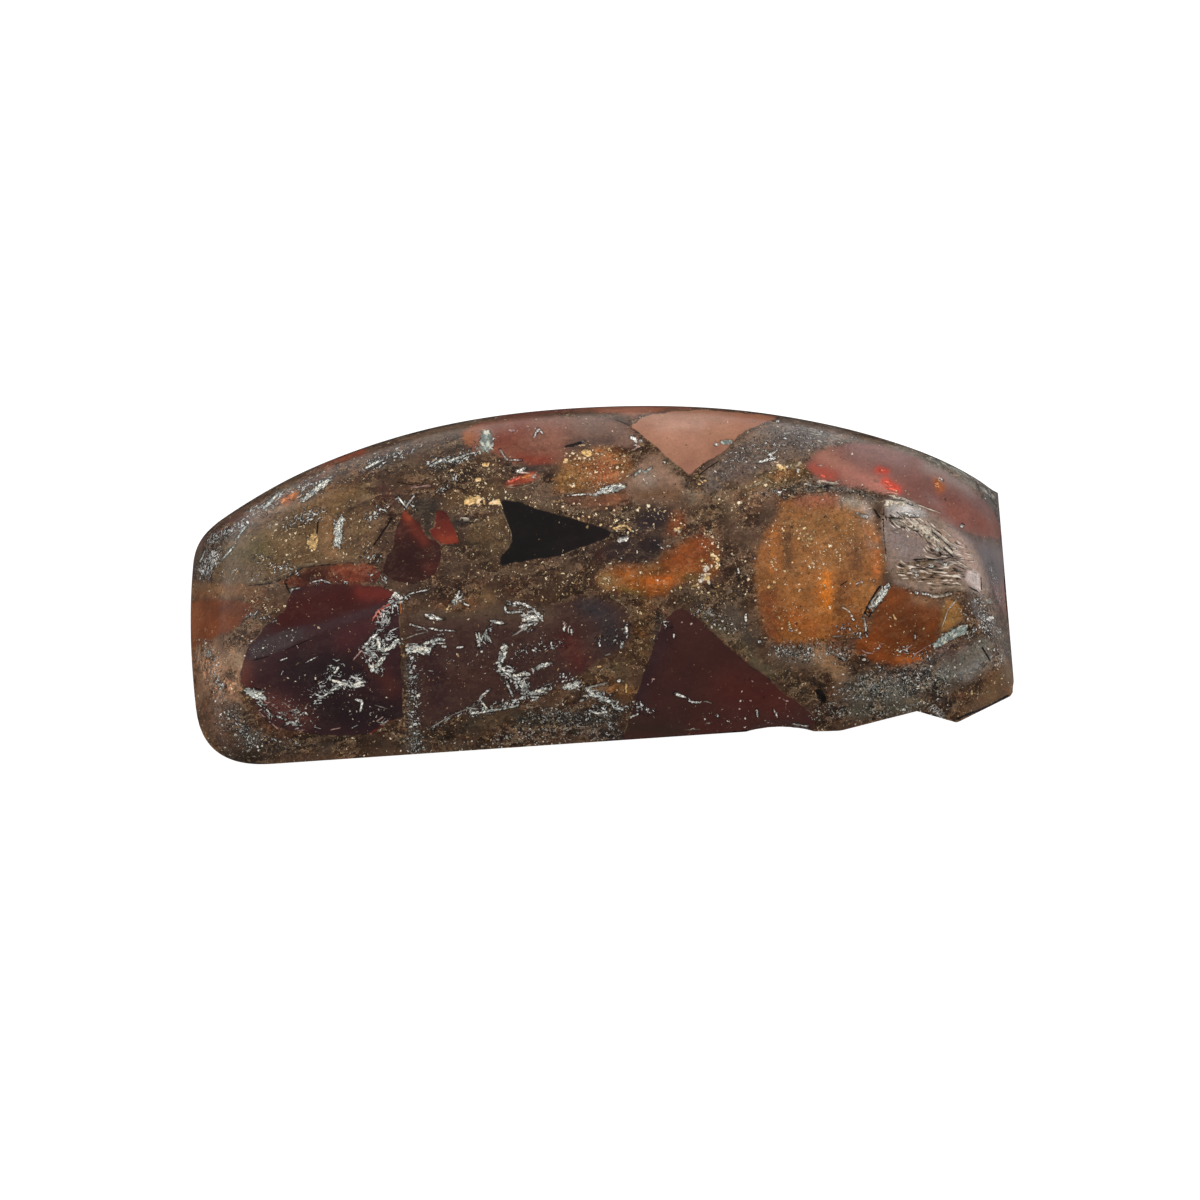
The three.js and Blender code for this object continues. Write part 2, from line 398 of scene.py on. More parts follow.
MAROON_TRIANGLE = dict(
    outline=[
        (678, 609), (685, 609), (695, 615), (709, 629.7), (729, 647), (752, 667), (769.4, 681),
        (792, 698.6), (809, 710), (815, 719), (812, 733), (760, 737), (700, 742), (640, 746), (621, 748),
        (623, 738), (631.7, 710), (640, 684), (649, 658), (657.5, 632.6), (668, 616),
    ],
    soft=0,
    clear=0.97,
    colour=(70, 41, 37),
    tones=[
        ((60, 38, 40), 10, (664, 634), (648, 670), (636, 705)), ((84, 40, 34), 22, (775, 700), (730, 690)),
        ((62, 42, 36), 9, (630, 726), (676, 730)), ((76, 40, 35), 10, (700, 725), (740, 725)),
    ],
)
# Its bright orange tones, brightest from (652, 583) to (667, 580), are painted glow: light that comes back
# out of the clear opal.
GLOWING_OPAL = dict(
    outline=[
        (598, 578), (602, 571), (612, 568), (626, 565), (637.4, 565), (657.5, 563), (666, 552),
        (683, 540.7), (700.5, 535), (710.6, 540.7), (720.6, 555), (718, 572), (709, 579), (700, 587),
        (689, 582), (675, 585), (666, 596), (651.7, 598), (632, 595), (617, 592), (605, 591), (598, 586),
    ],
    soft=4,
    clear=0.6,
    colour=(138, 78, 27),
    tones=[
        ((178, 108, 46), 8, (672, 582), (684, 572)), ((185, 104, 29), 9, (628, 576), (648, 578)),
        ((218, 113, 29), 5, (652, 583), (667, 580)), ((152, 78, 25), 13, (680, 560), (700, 548)),
        ((156, 73, 27), 6, (702, 542)), ((108, 82, 41), 5, (688, 578), (697, 578)),
        ((165, 132, 78), 9, (606, 581)), ((121, 74, 29), 6, (640, 570), (660, 568)),
        ((122, 96, 46), 5, (622, 590), (640, 596)),
    ],
)
ORANGE_NUGGET = dict(
    outline=[(668, 524), (671, 515), (680, 512), (687, 518), (686, 530), (677, 535), (669, 532)],
    soft=4,
    clear=0.4,
    colour=(150, 84, 44),
    tones=[],
)
NIGHT_PATCH = dict(
    outline=[(634, 521), (642, 511), (658, 507), (669, 511), (667, 524), (656, 531), (640, 531)],
    soft=5,
    clear=0.7,
    colour=(52, 42, 44),
    tones=[],
)
DARK_MAROON_PATCH = dict(
    outline=[(586, 552), (600, 545), (622, 540), (646, 534), (664, 536), (664, 548), (655, 559), (636, 561),
             (614, 562), (596, 563)],
    soft=5,
    clear=0.7,
    colour=(52, 39, 37),
    tones=[((66, 38, 32), 8, (600, 556)), ((42, 36, 38), 7, (655, 545))],
)
TAN_CUSHION = dict(
    outline=[(474, 518), (490, 515), (503, 514), (507, 526), (511, 540), (508, 549), (498, 557), (482, 555),
             (470, 545), (468, 530)],
    soft=4,
    clear=0.4,
    colour=(102, 81, 54),
    tones=[
        ((116, 92, 64), 7, (496, 535)), ((86, 68, 48), 8, (476, 548)),
    ],
)
SMOKE_PATCH = dict(
    outline=[(413, 499), (426, 496), (441, 501), (437, 510), (436, 522), (432, 536), (427, 534), (421, 522),
             (414, 515)],
    soft=4,
    clear=0.7,
    colour=(62, 52, 45),
    tones=[],
)
OLIVE_OPAL = dict(
    outline=[
        (213, 578), (208, 562), (222, 546), (250, 531), (280, 515), (310, 500), (340, 488), (364, 483),
        (372, 496), (346, 506), (341, 525), (350, 548), (372, 553), (360, 560), (330, 561), (310, 566),
        (295, 573), (270, 580), (240, 583),
    ],
    soft=9,
    clear=0.62,
    colour=(122, 97, 66),
    tones=[
        ((140, 116, 84), 9, (278, 528), (290, 524)), ((134, 108, 78), 7, (316, 556), (330, 552)),
        ((100, 86, 53), 14, (232, 560), (262, 548)), ((150, 113, 76), 11, (325, 524), (332, 550)),
        ((126, 97, 64), 12, (300, 512), (340, 496)), ((113, 93, 70), 9, (226, 566), (256, 574)),
        ((93, 72, 49), 6, (280, 532), (312, 524)), ((105, 81, 53), 6, (285, 562), (318, 556)),
    ],
)
BROWN_NODULE = dict(
    outline=[(346, 512), (354, 504), (368, 501), (377, 508), (380, 524), (376, 542), (366, 551), (353, 548),
             (346, 534)],
    soft=3,
    clear=0.5,
    colour=(112, 87, 63),
    tones=[
        ((69, 56, 47), 4, (349, 509), (356, 503), (372, 501)), ((130, 103, 69), 7, (362, 530)),
    ],
)
LEFT_ORANGE = dict(
    outline=[(188, 602), (200, 600), (216.5, 599), (235, 601), (250, 604), (254, 611), (238, 626), (214, 638),
             (196, 648), (188, 650)],
    soft=2,
    clear=0.85,
    colour=(118, 64, 37),
    tones=[
        ((147, 85, 48), 10, (192, 606), (196, 632)), ((102, 55, 33), 10, (225, 612), (240, 610)),
        ((127, 66, 33), 8, (206, 632), (226, 620)),
    ],
)
TAN_BAND = dict(
    outline=[
        (190, 597), (192, 584), (206, 582), (226, 585), (250, 585), (262, 590), (250, 599), (220, 596),
    ],
    soft=5,
    clear=0.6,
    colour=(125, 92, 64),
    tones=[
        ((142, 106, 72), 7, (212, 590), (224, 592)), ((142, 76, 41), 5, (200, 599), (212, 600)),
    ],
)
ORANGE_FLAKE = dict(
    outline=[(280, 500), (286, 492), (296, 489), (300, 494), (294, 501), (286, 506)],
    soft=3,
    clear=0.5,
    colour=(148, 86, 46),
    tones=[],
)
RED_SLIP = dict(
    outline=[(504, 484), (516, 477), (530, 473), (539, 476), (534, 481), (520, 485), (508, 488)],
    soft=2,
    clear=0.7,
    colour=(150, 66, 44),
    tones=[((206, 92, 62), 3, (526, 478), (532, 477))],
)
OCHRE_CORNER = dict(
    outline=[
        (954, 718), (966, 705), (978, 692), (988, 678), (1000, 665), (1014, 656), (1018, 697), (1000, 708),
        (975, 722),
    ],
    soft=4,
    clear=0.7,
    colour=(116, 84, 54),
    tones=[
        ((124, 92, 56), 8, (992, 694)), ((92, 68, 46), 6, (972, 710)), ((110, 88, 64), 6, (1004, 676)),
    ],
)
MAUVE_BAND = dict(
    outline=[
        (938, 528), (955, 530), (982, 540), (1006, 545), (1009, 585), (1011, 606), (1000, 600),
        (985, 575), (968, 552), (950, 540),
    ],
    soft=8,
    clear=0.9,
    colour=(121, 106, 104),
    tones=[
        ((158, 117, 110), 10, (1000, 592), (1004, 606)), ((110, 99, 102), 10, (988, 556), (998, 572)),
    ],
)
BROKEN_STONE = dict(
    outline=[
        (884, 500), (896, 496), (914, 503), (932, 513), (952, 526), (972, 545), (984, 566), (990, 590),
        (984, 600), (968, 592), (950, 590), (935, 594), (915, 590), (895, 583), (887, 565), (885, 545),
        (883, 520),
    ],
    soft=4,
    clear=0.72,
    colour=(150, 130, 118),
    tones=[
        ((150, 134, 130), 13, (898, 534), (912, 550)),
        # The cream tone from (905, 519) to (950, 550) is painted highlight on the ridges.
        ((206, 184, 166), 7, (905, 519), (925, 530), (950, 550)),
        ((186, 160, 148), 10, (955, 535), (978, 575)), ((138, 114, 92), 10, (900, 572), (950, 578)),
        ((150, 130, 110), 5, (930, 588), (965, 588)), ((212, 200, 190), 2.5, (882, 520), (884, 545)),
    ],
    patches=[
        # The patches are painted light: a pale grey sheen on the smooth dome with a near-white painted
        # highlight in its middle, and a small bright facet, a painted reflection.
        ((178, 172, 168), 2.5, (886, 517), (887, 506), (897, 499), (912, 502), (924, 510), (927, 517)),
        ((232, 228, 226), 5, (897, 513), (902, 504), (911, 506), (915, 513)),
        (
            (226, 212, 208), 2.0, (966.5, 571), (971.8, 569), (980.5, 575.5), (981, 592), (971.8, 588),
            (966.5, 580),
        ),
    ],
)

# In this order, later ones over earlier ones
OPALS = [
    MAROON_SHEET, DEEP_RED, BURNT_ORANGE_BAND, OLIVE_OPAL, BROWN_NODULE, TAN_BAND, LEFT_ORANGE,
    ORANGE_FLAKE, SMOKE_PATCH, SMALL_RED, RED_SPLINTER, TAN_CUSHION, BLACK_SHARD, ORANGE_RIM, BRICK_RED,
    RED_SLIP, SMOKY_LOBE, BROWN_LENS, SPARKLING_LENS, PINK_TRIANGLE, GREY_LOBE, GOLD_TAN_STRIP, FIRE_RED,
    MAUVE_BAND, BROKEN_STONE, AMBER_NODULE, SECOND_AMBER, YELLOW_CHIP, MAROON_TRIANGLE, DARK_MAROON_PATCH,
    GLOWING_OPAL, ORANGE_NUGGET, NIGHT_PATCH, OCHRE_CORNER,
]

# A sandy vein that cuts through the opal
SEAM = [
    (399.5, 586), (405, 596), (404.5, 640), (406, 657), (417, 661), (417, 692), (424, 699), (426, 758),
    (403.5, 758), (403, 700), (399.5, 640),
]

# The sandy rock between the opals
ROCK = (92, 69, 53)
HIDDEN_ROCK = (84, 66, 52)
ROCK_TONES = [
    # The left end
    ((110, 78, 68), 6, (200, 545), (215, 533), (300, 485), (330, 465)),
    ((108, 96, 84), 13, (202, 562), (226, 545)), ((85, 72, 70), 5, (225, 552), (225, 575)),
    # The pale band from (255, 514) through (300, 503) to (368, 494) is painted sheen, a band of light
    # mirrored by the polish.
    ((108, 100, 92), 7, (226, 580), (272, 580)), ((150, 128, 108), 6, (255, 514), (300, 503), (368, 494)),
    ((150, 72, 42), 4, (325, 463), (345, 456), (362, 451)), ((133, 98, 66), 8, (330, 484), (366, 476)),
    ((144, 112, 82), 6, (193, 592), (258, 592)), ((102, 72, 50), 9, (250, 602), (285, 610)),
    ((194, 152, 118), 16, (203, 655), (226, 692)), ((168, 138, 110), 8, (234, 650), (243, 672)),
    ((109, 78, 58), 11, (204, 705), (220, 726)), ((98, 92, 86), 11, (230, 712), (254, 738)),
    ((62, 52, 44), 9, (228, 757), (262, 757)), ((100, 88, 76), 8, (270, 748), (345, 742)),
    ((148, 110, 72), 5, (203, 738), (213, 754)), ((143, 106, 78), 6, (194, 640), (196, 700)),
    ((100, 72, 56), 7, (262, 722), (296, 735)),
    # The upper left
    ((84, 64, 50), 11, (345, 480), (380, 488)), ((84, 56, 48), 7, (382, 490), (393, 502)),
    ((58, 48, 46), 7, (374, 464), (393, 466)), ((90, 74, 58), 8, (398, 468), (428, 474)),
    ((70, 58, 50), 9, (440, 472), (482, 478)), ((76, 62, 50), 9, (430, 448), (470, 440)),
    ((106, 84, 66), 7, (395, 446), (440, 434), (480, 420)), ((98, 74, 48), 10, (452, 498), (490, 490)),
    ((70, 54, 41), 10, (445, 530), (472, 556)), ((62, 52, 46), 6, (452, 522), (480, 524)),
    ((76, 58, 45), 9, (446, 568), (480, 570)), ((70, 54, 44), 9, (412, 594), (450, 596)),
    # The middle, between the shard and the dark sheets
    ((75, 53, 40), 14, (470, 582), (520, 592), (570, 592)), ((112, 74, 44), 7, (438, 608), (470, 604)),
    ((116, 88, 58), 8, (478, 592), (490, 600)), ((82, 63, 46), 8, (482, 566), (545, 572), (596, 570)),
    ((76, 58, 42), 9, (560, 590), (598, 596)), ((92, 76, 54), 6, (506, 498), (560, 506)),
    ((84, 68, 52), 9, (570, 510), (650, 514)), ((56, 44, 40), 6, (600, 536), (640, 530)),
    ((88, 72, 60), 6, (545, 476), (520, 494)), ((77, 63, 57), 7, (508, 466), (546, 470)),
    ((112, 97, 78), 8, (664, 460), (696, 500)), ((124, 104, 82), 8, (700, 500), (742, 488)),
    ((92, 74, 52), 9, (705, 516), (730, 510)), ((90, 67, 49), 8, (722, 530), (730, 560)),
    ((94, 71, 54), 12, (738, 536), (746, 560)), ((54, 37, 32), 7, (728, 574), (746, 577)),
    ((78, 66, 53), 11, (690, 598), (738, 594)), ((84, 74, 64), 12, (726, 606), (750, 640)),
    ((104, 92, 72), 6, (704, 614), (735, 642), (772, 676)), ((114, 86, 58), 10, (646, 606), (640, 650)),
    ((88, 70, 52), 8, (632, 650), (616, 690)), ((60, 54, 52), 6, (660, 620), (656, 640)),
    ((124, 84, 44), 6, (612, 690), (628, 692)), ((98, 82, 60), 6, (594, 674), (614, 668)),
    # The right
    ((76, 64, 50), 12, (786, 674), (808, 694)), ((128, 116, 102), 9, (782, 652), (812, 656)),
    ((165, 129, 95), 10, (818, 656), (838, 672)), ((130, 98, 80), 6, (836, 644), (852, 648)),
    ((125, 126, 116), 14, (862, 690), (905, 688), (945, 672)), ((138, 140, 137), 9, (966, 672), (984, 660)),
    ((140, 120, 104), 6, (806, 480), (840, 488), (870, 492)), ((145, 114, 90), 10, (738, 502), (768, 494)),
    ((101, 98, 94), 6, (910, 669), (922, 674)), ((68, 62, 61), 8, (937, 694), (949, 705)),
    ((60, 53, 51), 6, (833, 706), (845, 709)), ((118, 98, 92), 8, (940, 650), (970, 652)),
    ((120, 116, 106), 8, (964, 660), (985, 644)), ((126, 90, 58), 5, (978, 626)),
    ((104, 88, 72), 8, (1000, 634), (1006, 660)), ((156, 118, 112), 6, (992, 582), (1003, 608)),
    ((134, 120, 112), 8, (984, 604), (990, 625)), ((104, 96, 92), 9, (985, 488), (1000, 512)),
    # A painted sheen: the pale band along the upper right rim, from (890, 445) to (972, 483), where the
    # polish mirrors a light.
    ((145, 136, 127), 7, (890, 445), (930, 460), (972, 483)),
    ((116, 106, 96), 8, (792, 486), (836, 490), (872, 498)), ((125, 110, 84), 7, (770, 484), (800, 476)),
    ((90, 86, 74), 8, (850, 712), (920, 704)),
    # The lower edge, and touches laid over the others
    ((70, 56, 46), 9, (560, 556), (640, 552)), ((100, 76, 60), 9, (222, 708)),
    ((120, 100, 74), 9, (276, 494), (296, 490)), ((116, 94, 76), 8, (530, 496), (592, 500)),
    ((128, 110, 86), 9, (762, 468), (800, 466)), ((108, 98, 92), 9, (900, 676), (940, 662)),
    ((60, 47, 38), 8, (300, 741), (380, 742)), ((68, 58, 47), 9, (400, 742), (432, 738), (482, 722)),
    ((90, 74, 56), 5, (440, 753), (482, 749)), ((74, 60, 44), 6, (482, 724), (534, 710)),
    ((68, 65, 59), 9, (520, 722), (560, 720), (612, 716)), ((59, 52, 51), 8, (588, 730), (618, 737)),
    ((100, 96, 90), 6, (410, 662), (412, 744)), ((84, 64, 50), 3.5, (402, 600), (402, 700)),
]

# Amounts: how much, its reach, and the line that it lies along. First gold dust
GOLD = [
    (0.9, 8, (572, 458), (600, 453), (630, 463)), (0.8, 11, (580, 470), (620, 470)),
    (0.6, 10, (566, 482), (604, 482)), (1.1, 8, (455, 506), (500, 506)), (0.9, 7, (462, 478), (496, 494)),
    (0.7, 9, (440, 470), (500, 470)), (0.6, 9, (460, 486), (500, 492)), (0.9, 4, (506, 498), (560, 506)),
    (0.9, 7, (562, 506), (605, 518), (660, 508)), (0.9, 4, (616, 527), (632, 531)),
    (0.9, 6, (672, 518), (683, 530)), (1.5, 8, (605, 581), (608, 582)), (0.9, 4, (611, 568), (630, 566)),
    (1.5, 8, (712, 552), (715, 566), (704, 578), (696, 584)), (0.7, 4, (676, 590), (700, 586)),
    (0.35, 12, (626, 578), (660, 580)), (0.6, 9, (768, 528), (774, 575)),
    (0.75, 12, (790, 528), (815, 540)), (0.6, 14, (820, 560), (850, 535)), (0.6, 8, (822, 580), (828, 608)),
    (0.7, 6, (870, 525), (880, 555)), (0.7, 9, (722, 500), (738, 508)), (0.8, 7, (745, 490), (802, 467)),
    (0.4, 12, (640, 600), (640, 660)), (0.32, 14, (470, 572), (600, 580)), (0.9, 5, (308, 536), (318, 550)),
    (0.6, 14, (270, 560), (345, 545)), (0.6, 9, (280, 535), (312, 528)), (0.6, 8, (358, 522), (368, 545)),
    (0.6, 6, (400, 508), (412, 520)), (0.5, 8, (484, 516), (502, 532)), (0.5, 10, (700, 540), (738, 562)),
    (0.5, 8, (700, 520), (722, 545)), (0.5, 10, (250, 600), (288, 612)), (0.4, 14, (205, 645), (238, 690)),
    (0.4, 12, (775, 600), (805, 632)), (0.18, 11, (880, 600), (930, 645)), (0.4, 9, (700, 600), (745, 590)),
    (0.5, 8, (960, 700), (990, 688)), (0.4, 10, (440, 545), (470, 562)), (0.4, 10, (885, 650), (925, 660)),
    (0.5, 9, (505, 560), (560, 562)),
]

# White dust, where the rock is coarse, grey and gritty
FROST = [
    (0.9, 18, (850, 690), (900, 690), (945, 676)), (0.7, 12, (820, 712), (930, 706)),
    (0.8, 11, (782, 650), (840, 656)), (0.8, 14, (228, 722), (250, 745)), (1.0, 8, (413, 660), (416, 752)),
    (0.6, 12, (500, 738), (610, 732)), (0.6, 12, (530, 716), (612, 716)),
    (0.8, 13, (965, 640), (1000, 655)), (0.5, 14, (208, 655), (220, 700)),
    (0.5, 12, (720, 470), (760, 455)), (0.5, 12, (205, 560), (215, 540)), (0.6, 9, (810, 486), (870, 496)),
    (0.5, 12, (700, 612), (740, 630)), (0.5, 10, (430, 752), (480, 748)),
    (0.5, 9, (1000, 630), (1006, 660)), (0.25, 18, (440, 665), (540, 645)),
    (0.2, 20, (300, 690), (385, 712)), (0.2, 12, (700, 722), (795, 716)),
    (0.85, 11, (264, 704), (304, 716)), (0.7, 4, (252, 652), (272, 648)), (0.4, 14, (270, 530), (320, 515)),
    (0.5, 8, (262, 575), (225, 570)), (0.35, 12, (800, 435), (850, 442)), (0.8, 9, (962, 604), (1000, 636)),
    (0.35, 10, (250, 648), (290, 636)),
]

# Silvery strands
SILVER = [
    (1.0, 8, (396, 600), (384, 618), (379, 632)), (1.05, 9, (388, 638), (368, 650), (376, 668)),
    (1.0, 7, (362, 678), (345, 684), (325, 692)), (0.8, 8, (336, 668), (316, 700)),
    (0.45, 7, (262, 706), (300, 724)), (0.9, 5, (411, 656), (413, 692)), (0.8, 7, (412, 698), (416, 750)),
    (0.62, 8, (512, 606), (538, 612), (528, 626)), (0.9, 6, (412, 652), (440, 640)),
    (0.8, 6, (492, 628), (480, 645)), (1.0, 9, (504, 670), (520, 684), (528, 694)),
    (0.9, 6, (472, 713), (500, 706), (535, 694), (550, 688)), (0.8, 6, (562, 676), (578, 686)),
    (0.85, 8, (588, 694), (614, 704)), (0.7, 5, (588, 710), (624, 708)),
    (0.6, 8, (600, 640), (618, 638), (626, 630)), (0.7, 4, (428, 729), (452, 716), (480, 705)),
    (1.0, 10, (205, 572), (214, 556)), (0.8, 8, (290, 520), (322, 512)), (0.8, 6, (366, 520), (384, 508)),
    (0.85, 7, (212, 540), (245, 524)), (0.75, 7, (252, 512), (280, 496), (332, 478)),
    (0.65, 8, (258, 560), (294, 572)), (0.7, 7, (362, 470), (382, 460), (412, 450)),
    (0.9, 7, (430, 465), (472, 455)), (0.5, 7, (395, 452), (420, 446)), (0.7, 6, (440, 490), (456, 478)),
    (0.6, 6, (474, 448), (490, 440)), (0.75, 6, (398, 498), (412, 508)),
    (0.5, 11, (735, 455), (770, 440), (820, 438)), (0.6, 6, (762, 492), (786, 492)),
    (0.5, 8, (700, 610), (726, 622)), (0.6, 9, (782, 650), (806, 656)), (0.7, 6, (842, 628), (862, 634)),
    (0.6, 7, (900, 652), (930, 656)), (0.7, 6, (634, 704), (652, 712)), (0.6, 6, (656, 616), (668, 626)),
    (0.7, 7, (232, 715), (250, 742)), (0.5, 10, (520, 655), (560, 642)), (0.75, 6, (970, 634), (990, 622)),
    (0.5, 14, (855, 690), (940, 680)), (0.6, 5, (313, 582), (345, 581)), (0.75, 6, (374, 575), (386, 582)),
    (0.55, 10, (545, 716), (610, 722)), (0.8, 6, (336, 520), (340, 545)), (0.6, 8, (206, 645), (220, 690)),
    (0.6, 8, (365, 555), (376, 560)), (0.6, 6, (246, 612), (272, 622)), (0.5, 8, (245, 735), (300, 745)),
    (0.75, 9, (978, 600), (990, 632)), (0.6, 6, (990, 566), (998, 600)), (0.5, 9, (880, 672), (930, 676)),
]

# The colours of strokes, and how dark the line round each is
STROKE_COLOURS = dict(
    white=((216, 213, 205), 0.85), silver=((192, 194, 186), 0.9), teal=((150, 160, 152), 0.6),
    cream=((222, 206, 184), 0.55), pale=((152, 146, 136), 0.4), pink=((190, 150, 140), 0.3),
    gold=((240, 196, 128), 0.55), tan=((146, 122, 92), 0.3), orange=((196, 112, 50), 0.2),
    coral=((244, 108, 84), 0.1), red=((128, 44, 32), 0.0), dark=((26, 22, 21), 0.0),
)

